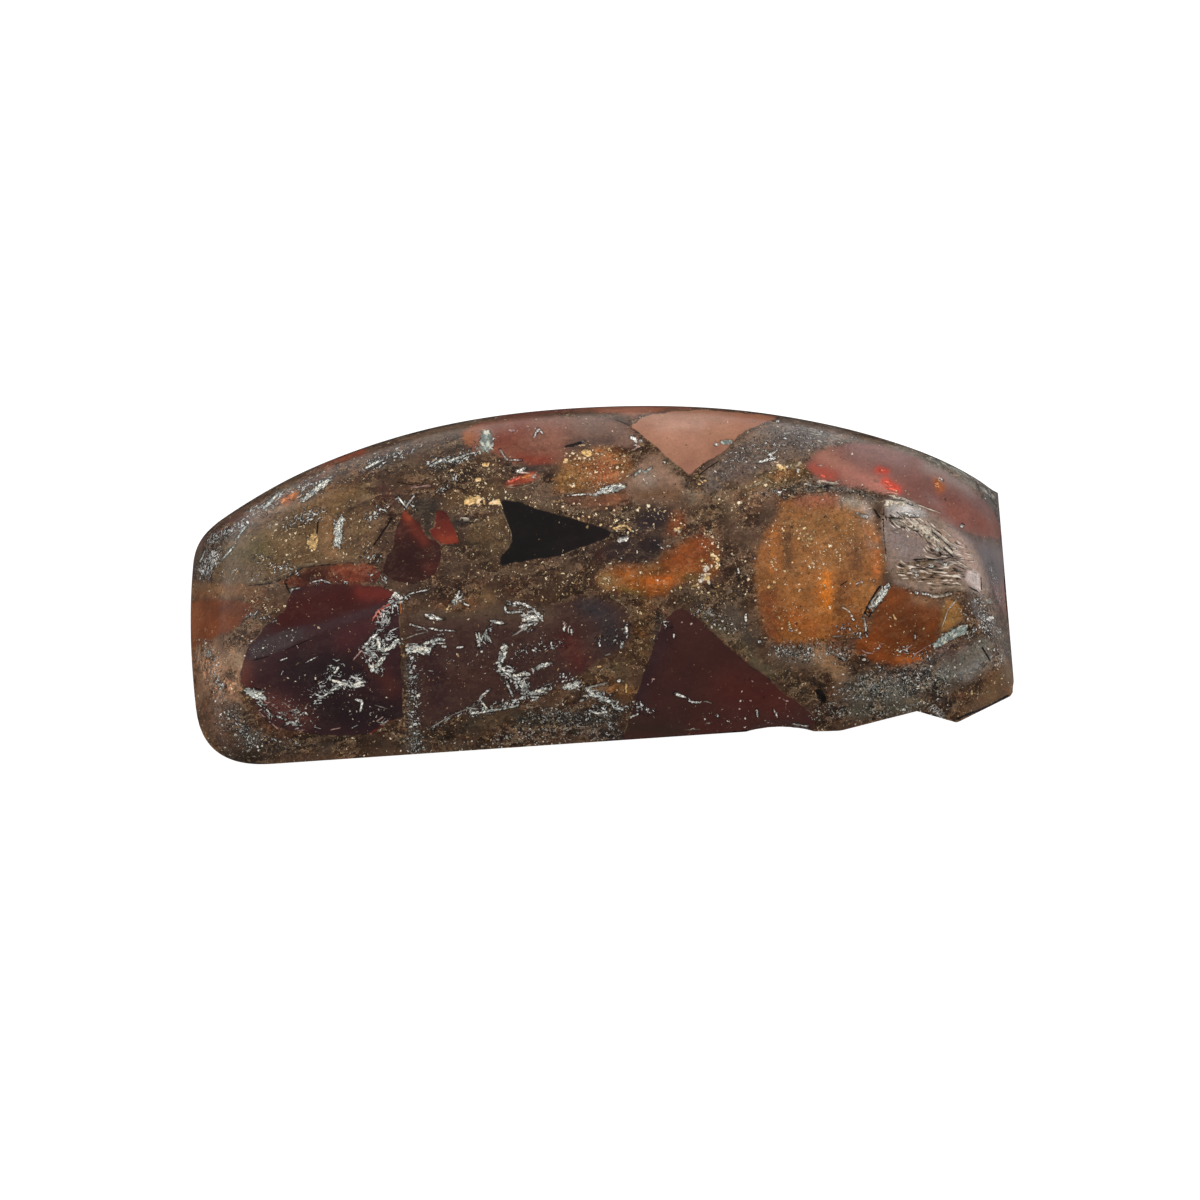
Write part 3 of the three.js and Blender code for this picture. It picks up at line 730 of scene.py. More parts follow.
# Single marks: a colour, its greatest width in pixels, and the points that it runs through
STROKES = [
    # The upper left
    ("silver", 6.1, (303, 500), (330, 479)), ("silver", 3.2, (263, 509), (279, 493)),
    ("silver", 8.5, (336.5, 545), (338.5, 534)), ("silver", 8.0, (338, 530), (341.5, 518)),
    ("dark", 1.9, (318, 520), (317, 536)), ("dark", 2.4, (393, 517), (372, 548)),
    ("tan", 1.4, (245, 583), (272, 580), (290, 572), (300, 565), (340, 560)),
    ("dark", 1.3, (248, 586), (274, 583), (292, 575), (303, 568), (340, 563)),
    ("orange", 5.2, (281, 502), (297, 493)), ("gold", 7.3, (310, 541), (315, 546)),
    ("gold", 5.2, (313, 535), (317, 541)), ("gold", 4.0, (309, 546), (314, 549)),
    ("white", 2.2, (398, 497), (406, 507)), ("white", 2.0, (406, 507), (414, 496)),
    ("pink", 1.3, (412, 488), (430, 485)), ("dark", 1.3, (395, 482), (430, 488)),
    ("silver", 2.9, (366, 468), (378, 462)), ("silver", 2.4, (430, 466), (446, 458)),
    ("silver", 2.6, (448, 462), (468, 454)), ("silver", 2.2, (236, 540), (246, 526)),
    ("silver", 2.2, (222, 560), (234, 546)), ("silver", 1.7, (200, 562), (205, 551)),
    ("silver", 1.9, (205, 576), (214, 566)),
    # The deep red opal and the rock to its left
    ("white", 1.7, (291, 590), (300, 588)), ("white", 1.3, (313, 582), (322, 580), (332, 584)),
    ("dark", 2.4, (285, 582), (290, 594)), ("silver", 7.9, (246, 691), (263, 698)),
    ("dark", 1.6, (243, 686), (263, 690)), ("silver", 2.9, (288, 721), (297, 725)),
    ("dark", 1.2, (252, 661), (270, 656)), ("dark", 1.2, (286, 650), (313, 638)),
    ("white", 1.4, (280, 661), (287, 658)), ("white", 1.4, (305, 663), (317, 657)),
    ("white", 1.3, (281, 675), (283, 671)), ("tan", 3.0, (264, 600), (270, 599)),
    ("white", 5.6, (394, 594), (399.5, 599)), ("white", 2.2, (405, 597.5), (407.5, 599)),
    ("silver", 1.6, (257, 703), (262, 707)), ("pink", 1.3, (262, 699), (267, 703), (271, 702)),
    ("silver", 1.5, (266, 709), (270, 714), (269, 719)), ("pink", 1.4, (259, 712), (264, 717)),
    ("pink", 1.2, (272, 706), (278, 709)), ("silver", 1.8, (276, 716), (283, 719)),
    ("pink", 1.4, (272, 724), (278, 729)), ("silver", 1.3, (284, 726), (290, 723), (293, 726)),
    ("pink", 1.3, (284, 703), (290, 708)), ("silver", 1.4, (291, 712), (297, 709)),
    ("silver", 1.9, (299, 716), (305, 712), (308, 715)), ("pink", 1.2, (297, 731), (305, 730)),
    ("silver", 1.2, (314, 727), (321, 729)), ("pink", 1.2, (331, 730), (340, 728)),
    ("silver", 1.2, (352, 728), (358, 725)), ("pink", 1.5, (376, 722), (383, 717)),
    ("silver", 1.6, (380, 725), (388, 721)), ("coral", 1.6, (391, 604), (380, 610), (373, 619)),
    ("pink", 1.6, (388, 603), (377, 611), (372, 622)), ("white", 2.4, (384.4, 612), (381, 624.5)),
    ("white", 2.2, (390.5, 617), (387.4, 623.6)), ("orange", 2.1, (400.6, 605), (401, 613)),
    ("white", 1.7, (389, 632), (398, 628)), ("white", 4.7, (377, 634), (366, 644.5)),
    ("white", 3.2, (378.5, 636), (380, 649)), ("silver", 4.7, (381, 651), (391, 647.5), (398.3, 640)),
    ("silver", 2.6, (366, 650), (376, 645)), ("silver", 4.7, (384.5, 657), (378.8, 664), (371, 670.5)),
    ("white", 2.4, (369, 665), (373, 668)), ("pink", 1.9, (361.5, 650.7), (352.8, 660.5)),
    ("white", 3.2, (351, 677), (362.5, 680)), ("silver", 3.2, (362, 681), (352, 687.5)),
    ("white", 2.9, (352, 687.6), (364.7, 685.4)), ("white", 2.9, (330, 680), (346, 684.4)),
    ("silver", 2.9, (345, 685), (330, 691)), ("white", 2.2, (334.3, 673.5), (338.7, 667)),
    ("silver", 2.2, (318, 700), (330, 692)), ("white", 2.4, (356, 699.5), (362.5, 701.7), (360.4, 711.5)),
    ("pale", 1.3, (374.5, 705), (388.6, 709.3)), ("red", 1.4, (393, 719), (380, 727), (369, 734.3)),
    # The dark sheet in the middle
    ("silver", 7.9, (408, 650), (418, 649), (428, 652)),
    ("silver", 3.2, (419, 646.5), (430, 642), (441.7, 638.6)), ("white", 2.4, (425.4, 615), (434, 615.5)),
    ("white", 2.7, (427, 618), (443.5, 619.5)), ("white", 2.2, (410, 624.7), (411, 624.7)),
    ("white", 1.6, (413.5, 625.8), (422, 628)), ("white", 2.2, (430, 628.5), (441, 631)),
    ("white", 1.7, (445, 630.5), (454.7, 631.2)), ("pale", 1.3, (406, 638.8), (415, 635), (426.5, 632.3)),
    ("white", 2.2, (442, 646.5), (446, 647)), ("white", 1.9, (456.3, 648), (463.4, 647)),
    ("pale", 1.6, (428.6, 670.8), (433, 671.4)), ("white", 2.2, (476.4, 633.4), (479.6, 647)),
    ("silver", 2.4, (459.6, 591), (455, 602)), ("silver", 2.2, (455, 598), (468.8, 606)),
    ("silver", 1.9, (452, 603), (462, 596)), ("gold", 2.4, (446.6, 609.5), (447.6, 609.5)),
    ("white", 1.4, (408, 594.3), (418, 592), (427.6, 590)),
    ("white", 3.2, (513.4, 603.5), (522, 603.5), (531.8, 608.2)), ("silver", 2.2, (505, 606), (506, 614)),
    ("silver", 2.2, (507, 613), (522, 612)), ("white", 6.1, (524, 618), (540, 617)),
    ("white", 3.3, (521, 626), (536, 624)), ("silver", 2.9, (538, 613), (543, 621)),
    ("white", 3.2, (490, 621.2), (504.7, 623.4)),
    ("silver", 2.2, (488.4, 627.7), (482, 638.6), (477.6, 647.2)), ("silver", 2.2, (485, 632), (491, 642)),
    ("pale", 1.9, (513.4, 635.3), (526.4, 627.7)), ("silver", 7.5, (505, 645.5), (500.5, 661)),
    ("silver", 5.1, (535.5, 668), (550, 663.7)), ("white", 1.9, (532.5, 650), (536, 652)),
    ("white", 3.3, (498, 667), (513.4, 677.6)), ("white", 4.7, (512, 676), (529.7, 673.3)),
    ("silver", 2.9, (517.7, 681), (524.2, 693)), ("silver", 2.6, (522, 679), (529, 692)),
    ("silver", 2.6, (506, 681), (513.4, 697)), ("silver", 4.7, (530.7, 694), (546, 689.5)),
    ("white", 2.9, (531, 701), (537, 699)), ("silver", 2.6, (489.5, 689.5), (480, 698)),
    ("silver", 2.4, (480, 699), (487.4, 710)), ("white", 2.4, (470, 713.6), (486, 712)),
    ("silver", 2.3, (488, 711), (503, 709), (517.7, 705.8)), ("pink", 1.9, (562, 621), (567, 624.5)),
    ("white", 1.7, (563.3, 627.7), (564.4, 632)), ("white", 2.0, (571, 628.8), (572, 635)),
    ("white", 3.3, (626.2, 626.6), (627, 632.5)), ("silver", 3.2, (622, 642), (621.6, 649.4)),
    ("white", 2.2, (599, 643), (600, 646.4)), ("pale", 1.9, (605, 655.5), (610, 654)),
    ("gold", 2.4, (597, 666.8), (601, 666.8)), ("white", 2.2, (563.3, 673.5), (563.6, 677.5)),
    ("silver", 4.7, (564, 688), (572, 684)), ("white", 4.7, (572, 688), (579, 683)),
    ("pale", 2.2, (585, 688.5), (596, 686), (606.7, 683)), ("white", 3.2, (617.5, 681), (620, 681)),
    ("gold", 3.2, (626.2, 685), (626, 692)), ("silver", 5.1, (587, 691.7), (600, 697), (611, 702.6)),
    ("white", 2.6, (589.3, 711), (598, 713.6), (606.7, 711.8)), ("silver", 3.2, (615, 708.5), (623, 709)),
    ("silver", 2.2, (579.5, 701.4), (584, 699.6)),
    ("tan", 1.4, (610, 597.4), (620, 602), (627.3, 608.2), (633, 620)),
    ("tan", 1.4, (613, 598), (622, 601.5)), ("pale", 1.3, (428, 729.5), (452.6, 715), (480, 704)),
    # Round the black shard
    ("teal", 11.0, (486, 433), (486, 450)), ("white", 1.8, (481, 452), (492, 446)),
    ("white", 1.7, (534, 438), (538, 428), (543, 434)), ("white", 1.9, (500, 450), (506, 459)),
    ("white", 1.6, (508, 460), (521, 460)), ("pink", 2.2, (509, 430), (515, 431)),
    ("dark", 3.2, (565, 447), (583, 442)), ("white", 1.6, (577, 443), (584, 441)),
    ("gold", 5.2, (484, 465), (488, 465)), ("gold", 4.7, (476, 480), (480, 480)),
    ("gold", 9.5, (467, 501), (479, 500)), ("dark", 2.0, (471, 501), (474, 500.5)),
    ("gold", 5.2, (490, 503), (499, 502)), ("cream", 1.7, (455, 517), (480, 520)),
    ("dark", 1.6, (455, 521), (482, 524)), ("white", 2.9, (516, 472), (526, 468)),
    ("coral", 2.4, (508, 482), (520, 478)), ("orange", 2.9, (520, 478), (534, 475)),
    ("white", 1.4, (527, 477), (529, 476)), ("white", 1.4, (533, 477), (535, 476)),
    ("tan", 1.3, (505, 487), (520, 488), (538, 481)), ("gold", 4.7, (565, 462), (567, 460)),
    ("gold", 7.3, (584, 452), (590, 454)), ("gold", 2.7, (608.5, 449), (609.5, 449)),
    ("silver", 8.0, (601, 491.5), (623.5, 486.5)), ("white", 2.0, (592.5, 494.8), (603, 491.8)),
    ("white", 1.7, (568, 495.7), (587, 494)), ("dark", 1.3, (594, 497.6), (612, 494), (625, 489.6)),
    ("orange", 2.7, (597.5, 482.6), (600, 482.6)), ("white", 4.7, (632, 437), (637, 441)),
    ("white", 2.2, (640, 440), (641.5, 442)), ("pink", 1.9, (631.5, 450.5), (640.5, 446)),
    ("dark", 1.4, (615, 419.5), (629, 425)), ("teal", 2.4, (634.5, 475.5), (640.5, 470.5)),
    ("teal", 2.7, (645.7, 472.6), (651, 468)), ("white", 2.2, (663.5, 462.3), (665, 462.3)),
    ("pink", 1.7, (651.5, 458), (652.5, 457.6)), ("gold", 2.6, (613, 529), (620, 526), (628, 526)),
    ("gold", 2.7, (628, 527), (631, 531)), ("white", 5.1, (619, 541), (627, 538.5)),
    ("dark", 2.7, (619, 536), (626, 536.5)), ("cream", 1.4, (671, 533), (682.4, 531.2)),
    ("gold", 2.4, (674, 529), (680, 528)), ("pink", 2.2, (654, 540.6), (655, 540.6)),
    ("white", 1.7, (645.5, 561.6), (646.5, 561.6)), ("white", 1.7, (621, 558.3), (622, 558.3)),
    ("white", 1.6, (661, 547.8), (662, 547.8)), ("white", 1.6, (669, 546.3), (670, 546.3)),
    ("gold", 2.4, (606, 508.3), (607, 508.3)), ("gold", 2.4, (639, 507.8), (640, 507.8)),
    ("gold", 2.4, (577.6, 518.5), (579, 518.5)), ("gold", 2.6, (600, 525), (601.6, 525)),
    ("gold", 2.4, (588.4, 517), (589.8, 517)), ("tan", 1.6, (500, 508), (506, 520), (512, 536), (508, 549)),
    # The glowing opal
    ("orange", 5.2, (662, 581), (667, 583)), ("orange", 1.8, (651, 591), (660, 592)),
    ("gold", 5.2, (712, 554.5), (713, 555.5)), ("gold", 2.9, (701.6, 561), (702.6, 561)),
    ("gold", 5.2, (717, 558.5), (718, 560)), ("gold", 4.5, (716.4, 566.4), (717.4, 567.4)),
    ("cream", 6.1, (704.5, 570.5), (708, 568.5)), ("gold", 5.2, (706, 576.5), (707.5, 578.5)),
    ("cream", 5.2, (699.5, 581.5), (703, 579.5)), ("cream", 2.4, (709, 582), (709.2, 584.5)),
    ("gold", 2.1, (691.4, 586.7), (698, 585)), ("gold", 2.4, (679.6, 588), (681.4, 588)),
    ("gold", 2.4, (717.6, 586), (718.8, 586)), ("white", 2.4, (738, 568), (738.6, 573)),
    # The pink triangle and the grey stone beside it
    ("white", 2.6, (715, 444.5), (716.5, 444.5)), ("teal", 4.7, (722, 442.5), (731.5, 442)),
    ("dark", 1.4, (693.7, 480), (705, 470), (720, 460.3)), ("gold", 2.4, (695, 476.6), (696.5, 476.6)),
    ("gold", 2.4, (704, 480.7), (706, 480.7)), ("gold", 2.4, (698.5, 484.3), (700, 484.3)),
    ("white", 3.2, (777.2, 421.3), (778.4, 421.3)), ("pink", 2.2, (754, 421), (755, 421)),
    ("white", 2.6, (760.2, 462), (767, 460), (774.5, 458.6)), ("white", 2.6, (769, 454.8), (771.8, 453.6)),
    ("white", 1.7, (773.5, 452.4), (777.5, 449.8)), ("pale", 1.3, (752, 462.4), (760, 462)),
    ("white", 2.0, (742, 448.6), (743, 448.6)), ("white", 2.0, (745.5, 461.5), (746.8, 461.5)),
    ("pale", 2.2, (784.5, 433.6), (790, 433)), ("pale", 1.9, (817, 440), (822, 442)),
    ("pale", 1.9, (820.5, 432.2), (822, 432.2)), ("pale", 1.9, (851, 437.3), (853, 437.3)),
    ("pale", 1.7, (786, 451), (787.5, 451)), ("gold", 5.7, (778, 466), (782, 468)),
    ("white", 2.4, (797.5, 472), (798.6, 472)), ("tan", 4.7, (789, 468), (801, 463)),
    ("tan", 4.5, (750, 487), (760, 483), (768, 480)), ("tan", 1.8, (755.5, 473.6), (763.5, 472.6)),
    ("pale", 1.3, (795, 425), (815, 429)), ("pale", 1.3, (800, 431), (830, 437), (850, 442)),
    # The fire red opal
    ("coral", 2.4, (884, 482), (891, 482)), ("coral", 3.2, (885, 488), (896, 489.5)),
    ("coral", 2.2, (880, 470), (885, 470.5)), ("pink", 1.7, (874.5, 480.5), (876.5, 481.5)),
    ("coral", 2.4, (820, 475), (826, 477)), ("pink", 1.4, (817, 466), (824, 465)),
    ("pink", 1.7, (838.5, 480.7), (840.5, 480.7)), ("cream", 1.4, (817, 482), (828, 482), (840, 484)),
    ("dark", 1.6, (808, 489.5), (820, 487.6), (833, 485.4)), ("tan", 1.4, (811, 491.4), (822.4, 491)),
    ("orange", 5.7, (936, 481.5), (938, 487)), ("white", 1.7, (938.6, 477), (942.6, 480)),
    ("cream", 1.4, (936.5, 489.5), (938.2, 489.7)),
    ("cream", 1.3, (887, 495), (902, 497.5), (915, 503.8), (926, 508), (940, 513)),
    ("dark", 1.4, (885, 497.5), (901, 500.3), (914, 506.5)),
    # The pale marks along the upper right rim, from (926, 457) to (998, 492), are painted highlights of the
    # polish.
    ("pale", 5.0, (926, 457), (950, 467), (974, 478), (998, 492)), ("pale", 3.4, (980, 487), (996, 499)),
    ("dark", 1.4, (974, 481), (988, 495), (999.5, 510)), ("pale", 1.3, (978, 480), (992, 493)),
    # The broken patch. Its cream and white marks along the ridges are painted highlights, and the dark lines
    # that run beside them painted shade in the furrows
    ("cream", 5.6, (886, 504.5), (892, 502)), ("cream", 2.2, (895.5, 502), (898, 502.4)),
    ("white", 2.2, (903, 513.5), (912, 515), (919, 516)), ("cream", 7.5, (896, 500), (903, 504)),
    ("dark", 1.3, (884, 506), (883.5, 530), (886, 556)), ("dark", 1.8, (969, 587), (980, 593)),
    ("dark", 1.4, (883, 517.4), (900, 518), (920, 517.6)),
    ("cream", 2.4, (893, 520), (906, 525.5), (919, 528.4), (930, 534.5)),
    ("cream", 2.4, (930, 534.5), (943, 545), (953, 554)),
    ("cream", 2.0, (911, 522.5), (930, 527.6), (942, 536), (954, 547)),
    ("cream", 1.7, (920, 534), (934, 542), (944, 552)),
    ("dark", 1.4, (894, 523.5), (907, 529), (920, 532), (931, 538.5)),
    ("dark", 1.6, (931, 530.6), (943, 540.5), (953, 550.5)), ("dark", 2.1, (943, 547.5), (953.5, 557)),
    ("white", 2.9, (936, 549), (938, 550)), ("dark", 2.9, (939, 552.5), (941, 553.5)),
    ("dark", 1.6, (911.8, 560), (925, 559), (940, 560), (953, 557)),
    ("white", 2.2, (941, 563.4), (947, 565)), ("white", 1.9, (931, 565.6), (933.5, 566)),
    ("tan", 1.4, (902, 565), (932, 563.5)), ("dark", 1.3, (900, 568.3), (930, 569.4)),
    ("white", 2.9, (916, 575.2), (918, 576)), ("dark", 1.6, (981, 577), (981.5, 590)),
    ("white", 2.4, (961, 526), (962.5, 527)), ("dark", 1.4, (961, 523), (965, 525)),
    ("white", 2.2, (925, 594), (929, 594.8)), ("white", 2.9, (915.8, 592.3), (918, 593.2)),
    ("cream", 1.9, (932, 597.4), (942, 596.6), (951, 594)),
    ("dark", 1.4, (932, 594.6), (942, 594), (950, 591.4)), ("pale", 5.2, (987.5, 600), (990.5, 602.5)),
    ("white", 4.7, (987.5, 619.5), (992.5, 617.5)), ("dark", 2.1, (982, 647.2), (986, 654), (990.2, 661)),
    ("teal", 8.0, (935, 646), (948, 637)), ("teal", 10.0, (948, 637), (966, 627.5)),
    ("cream", 1.4, (942.5, 626), (948, 610), (957, 599.5)), ("dark", 1.6, (1000, 516), (1002, 519)),
    ("dark", 1.8, (1001, 536), (1002.5, 541)), ("cream", 1.3, (955, 560), (975, 572)),
    ("dark", 1.3, (953, 564), (966, 570)), ("cream", 1.4, (893, 531), (899, 533)),
    ("tan", 1.3, (896, 574), (910, 571)),
    # The amber nodule and what lies round it
    ("silver", 6.0, (873, 608), (889, 585)), ("dark", 2.4, (862.5, 618), (869, 603), (880, 586)),
    ("dark", 1.8, (868, 618), (874, 610)), ("silver", 1.9, (864.8, 619), (865.8, 631)),
    ("dark", 1.4, (840.5, 585.6), (847.4, 581)), ("white", 1.7, (856, 584), (857.2, 584)),
    ("white", 1.7, (861.2, 582.2), (862.4, 582.2)), ("white", 2.2, (873.2, 581), (874.4, 581)),
    ("cream", 1.3, (841.7, 607.4), (847, 609.6), (851, 613.4)), ("white", 2.2, (852.6, 619), (853.8, 620)),
    ("pale", 1.3, (832.5, 636.7), (845, 636)), ("white", 1.3, (830, 650), (838, 655), (846.3, 660.2)),
    ("dark", 1.3, (829, 652.4), (837, 657.4), (845, 662)), ("white", 2.9, (863, 659.7), (864.6, 659.7)),
    ("pink", 1.3, (861.6, 650), (865.7, 653), (872.9, 653.6)), ("white", 1.9, (877, 648.5), (879, 648.5)),
    ("pink", 1.3, (880, 644), (885, 643.9)), ("white", 1.7, (915.2, 634.5), (915.2, 639)),
    ("pink", 1.3, (903, 652), (912, 645)), ("pink", 1.3, (914, 655), (925, 648)),
    ("gold", 3.2, (803.5, 528.2), (806, 528.2)), ("gold", 2.7, (798, 538.7), (799.3, 538.7)),
    ("gold", 3.2, (808, 538.5), (811, 539.5)), ("gold", 2.4, (807.5, 545), (808.3, 547)),
    ("gold", 2.4, (823.5, 531.6), (824.5, 531.6)), ("gold", 2.4, (783.5, 530.6), (784.2, 530.6)),
    ("gold", 2.7, (784, 571), (785, 571.6)), ("gold", 2.9, (774, 582), (775, 582.4)),
    ("gold", 2.9, (768, 587.6), (769, 587.6)), ("gold", 2.4, (771.2, 562), (772.2, 562)),
    ("gold", 2.4, (792, 562.6), (793, 562.6)), ("gold", 2.4, (788.5, 622.3), (789.4, 622.3)),
    ("white", 2.0, (791, 631), (792, 631)), ("gold", 2.1, (781.6, 628.7), (782.6, 628.7)),
    ("gold", 1.9, (893, 615), (894, 615.6)), ("gold", 1.9, (895, 618.6), (896, 619.4)),
    ("pale", 1.4, (883, 531.7), (885.3, 549), (886, 560.4)), ("pale", 2.9, (857, 513), (864, 517)),
    ("white", 2.4, (865.6, 516), (867.4, 517.4)), ("dark", 2.9, (873, 508), (880.5, 519)),
    ("white", 2.0, (754, 558.6), (755, 558.6)), ("white", 2.9, (721.8, 621.2), (723, 621.2)),
    ("white", 2.2, (745.6, 614.5), (746, 621)), ("white", 2.9, (759, 641.9), (760.4, 641.9)),
    ("pale", 1.7, (731, 590.8), (732, 590.8)), ("pale", 1.6, (704, 612), (713, 610)),
    ("pale", 1.6, (708, 617), (719, 613)), ("pale", 1.4, (840.8, 500), (841.8, 507)),
    # The dark triangle
    ("white", 2.2, (673.7, 634), (673.9, 638)), ("pink", 1.9, (681.5, 622.4), (682.3, 622.4)),
    ("white", 2.9, (675, 693.6), (686.6, 697.8)), ("white", 2.3, (690, 702), (699.2, 702.7)),
    ("pale", 1.3, (706, 701.6), (711.8, 703.3)), ("pink", 2.2, (652.3, 679.2), (654.3, 679.2)),
    ("pink", 1.7, (647.6, 684.4), (648.6, 684.8)), ("white", 2.2, (636.8, 707.3), (639, 707)),
    ("white", 2.2, (646, 709.8), (648.4, 709.4)), ("white", 1.9, (636, 715.5), (638.5, 713.8)),
    ("white", 1.7, (630.6, 718), (631.8, 716.4)), ("white", 1.9, (740, 701), (741, 701)),
    ("pink", 1.6, (739, 709), (740, 709)), ("pink", 1.6, (750, 701), (751, 701)),
    ("pink", 1.7, (752.2, 681), (753, 682)), ("pink", 1.6, (767, 683.8), (768, 683.8)),
    ("white", 1.9, (756.6, 710.2), (757.8, 717)), ("white", 1.7, (773.6, 709.5), (777.3, 717.2)),
    ("pink", 1.7, (779, 698), (780, 698)), ("pink", 1.9, (786, 701), (788, 701)),
    ("white", 1.9, (717.4, 714.5), (717.8, 717.5)), ("pale", 2.2, (707, 723.6), (709.6, 723.2)),
    ("white", 1.9, (693, 728.6), (694, 728.6)), ("tan", 1.4, (684.3, 730), (700.4, 729.4)),
    # Along the lower edge. The dark lines that run along it are painted shade where the edge turns under the
    # stone
    ("dark", 1.8, (620, 741.8), (690, 736.8), (755, 730)), ("white", 1.7, (793, 724), (807.6, 726.5)),
    ("dark", 1.9, (790, 727.5), (808, 730)), ("dark", 1.9, (922.5, 712.7), (931.7, 713.8), (937.4, 718.4)),
    ("white", 1.4, (930.5, 706), (944.3, 720.7)), ("pale", 1.3, (934, 704), (947, 717)),
    ("dark", 2.6, (955, 719.5), (981, 709.5), (991, 705), (1010, 694.5)),
    ("gold", 1.9, (1001.2, 678.8), (1002.2, 678.8)), ("gold", 2.1, (971.4, 693.7), (972.4, 693.7)),
    ("dark", 8.3, (819, 691), (824, 700)),
]

# The patch that broke off at the right end and was left unpolished. Its ridges run down to the right
# in its upper part and level in its lower part
BROKEN = [
    (884, 500), (896, 497), (914, 504), (932, 514), (952, 527), (970, 544), (982, 566), (988, 590),
    (980, 600), (962, 596), (946, 592), (930, 594), (912, 590), (895, 583), (887, 565), (886, 545),
    (883, 520),
]
SMOOTH_PARTS = [
    [(884, 517), (885, 504), (897, 496), (914, 500), (930, 512), (924, 519)],
    [(884, 521), (898, 523), (912, 535), (926, 552), (920, 560), (884, 562)],
    [(958, 545), (972, 548), (984, 568), (990, 590), (982, 572), (964, 566)],
]
# Where its ridges are sharpest, with how sharp
SHARP_RIDGES = [
    (1.0, 8, (897, 519), (925, 529), (956, 556)), (0.9, 9, (905, 570), (955, 577)),
    (0.7, 7, (930, 550), (950, 562)), (0.8, 5, (884, 503), (893, 500)), (0.7, 6, (930, 590), (960, 592)),
    (0.5, 10, (955, 530), (975, 560)),
]
BROKEN_MIDDLE = (930, 548)
UPPER_RIDGES = math.radians(42)
LOWER_RIDGES = math.radians(4)
RIDGE_HEIGHT = 0.16
# How wide and how long they are, in pixels
RIDGE_SIZE = (6.5, 30)
TOOTH_SIZE = (3.6, 9)
GROOVE_SIZE = (2.0, 11)

# The worn corners: where each stands seen from above, and how far its wear reaches, in mm
WORN_CORNERS = [((-17.85, 2.7), 1.2), ((18.0, -4.9), 0.4)]
WEAR_PASSES = 60
WEAR_STRENGTH = 0.8


# Where each point of the stone is seen in the picture
def seen_places(points):
    """Each point's pixel in the picture, and how far it lies behind the stone's middle, in mm."""
    from_middle = points - np.array(STONE_MIDDLE)
    behind = from_middle @ np.array(FORWARD)
    scale = DISTANCE / (DISTANCE + behind) * PIXELS_PER_MM / MM
    across = STONE_MIDDLE_PIXEL[0] + from_middle @ np.array(RIGHT) * scale
    down = STONE_MIDDLE_PIXEL[1] - from_middle @ np.array(UP) * scale
    return np.stack([across, down], axis=1), behind / MM


def line_distance(places, line):
    """How far each place is from a line through the given points, or from one point."""
    ends = [np.array(end, float) for end in line]
    nearest = np.linalg.norm(places - ends[0], axis=1)
    for start, end in zip(ends, ends[1:]):
        side = end - start
        along = np.clip((places - start) @ side / (side @ side), 0, 1)
        nearest = np.minimum(nearest, np.linalg.norm(places - start - along[:, None] * side, axis=1))
    return nearest


def depth_inside(places, outline):
    """How deep each place lies inside a closed outline, and below 0 outside it."""
    corners = np.array(outline, float)
    inside = np.zeros(len(places), bool)
    for start, end in zip(corners, np.roll(corners, -1, axis=0)):
        crossed = (start[1] > places[:, 1]) != (end[1] > places[:, 1])
        rise = end[1] - start[1]
        if rise:
            at = start[0] + (places[:, 1] - start[1]) / rise * (end[0] - start[0])
            inside ^= crossed & (places[:, 0] < at)
    nearest = line_distance(places, list(outline) + [outline[0]])
    return np.where(inside, nearest, -nearest)


# A cloud repeats after this many cells, and is moved so that no place lies below 0
CLOUD_CELLS = 32
CLOUD_SHIFT = 1000


def cloud(points, size, seed):
    """Soft random values from 0 to 1 that change over the given size."""
    table = np.random.default_rng(seed).random((CLOUD_CELLS, CLOUD_CELLS, CLOUD_CELLS))
    place = points / size + CLOUD_SHIFT
    low = np.floor(place).astype(int)
    part = place - low
    part = part * part * (3 - 2 * part)
    total = np.zeros(len(points))
    for corner in np.ndindex(2, 2, 2):
        weight = np.prod(np.where(corner, part, 1 - part), axis=1)
        cell = (low + corner) % CLOUD_CELLS
        total += weight * table[cell[:, 0], cell[:, 1], cell[:, 2]]
    return total


def soft_step(values, reach):
    """A smooth step from 0 to 1 as the values go from -reach to reach."""
    share = np.clip(values / (2 * reach) + 0.5, 0, 1)
    return share * share * (3 - 2 * share)


def soft_line(places, line, reach):
    """1 on a line or point, and softly down to 0 round it."""
    return np.exp(-((line_distance(places, line) / reach) ** 2))


def toned(places, base, tones=(), patches=(), clear=0.0):
    """A base colour under soft tones, then patches with an edge. The fourth value is how clear it is."""
    colour = np.tile([*paint(*base), clear], (len(places), 1))
    for shade, reach, *line in tones:
        share = soft_line(places, line, reach)[:, None]
        colour[:, :3] += (paint(*shade) - colour[:, :3]) * share
    for shade, reach, *outline in patches:
        share = soft_step(depth_inside(places, outline), reach)[:, None]
        colour[:, :3] += (paint(*shade) - colour[:, :3]) * share
    return colour


def spread(places, strokes):
    """The greatest of some soft strokes at each place."""
    most = np.zeros(len(places))
    for strength, reach, *line in strokes:
        most = np.maximum(most, strength * soft_line(places, line, reach))
    return most


def keep(mesh, name, values):
    """Values kept on the mesh's points under a name, for its material to read."""
    kind, field = ("FLOAT", "value") if values.ndim == 1 else ("FLOAT_VECTOR", "vector")
    mesh.attributes.new(name, kind, "POINT").data.foreach_set(field, values.astype(np.float32).ravel())


# Strokes. Each point of the surface keeps the place that it has on the nearest stroke: across and
# along it, from -1 to 1, and the stroke's half width. All widths are in pixels
FAR = 9.0
# How far a point has to face the camera for a stroke to reach it
LEAST_FACING = 0.02


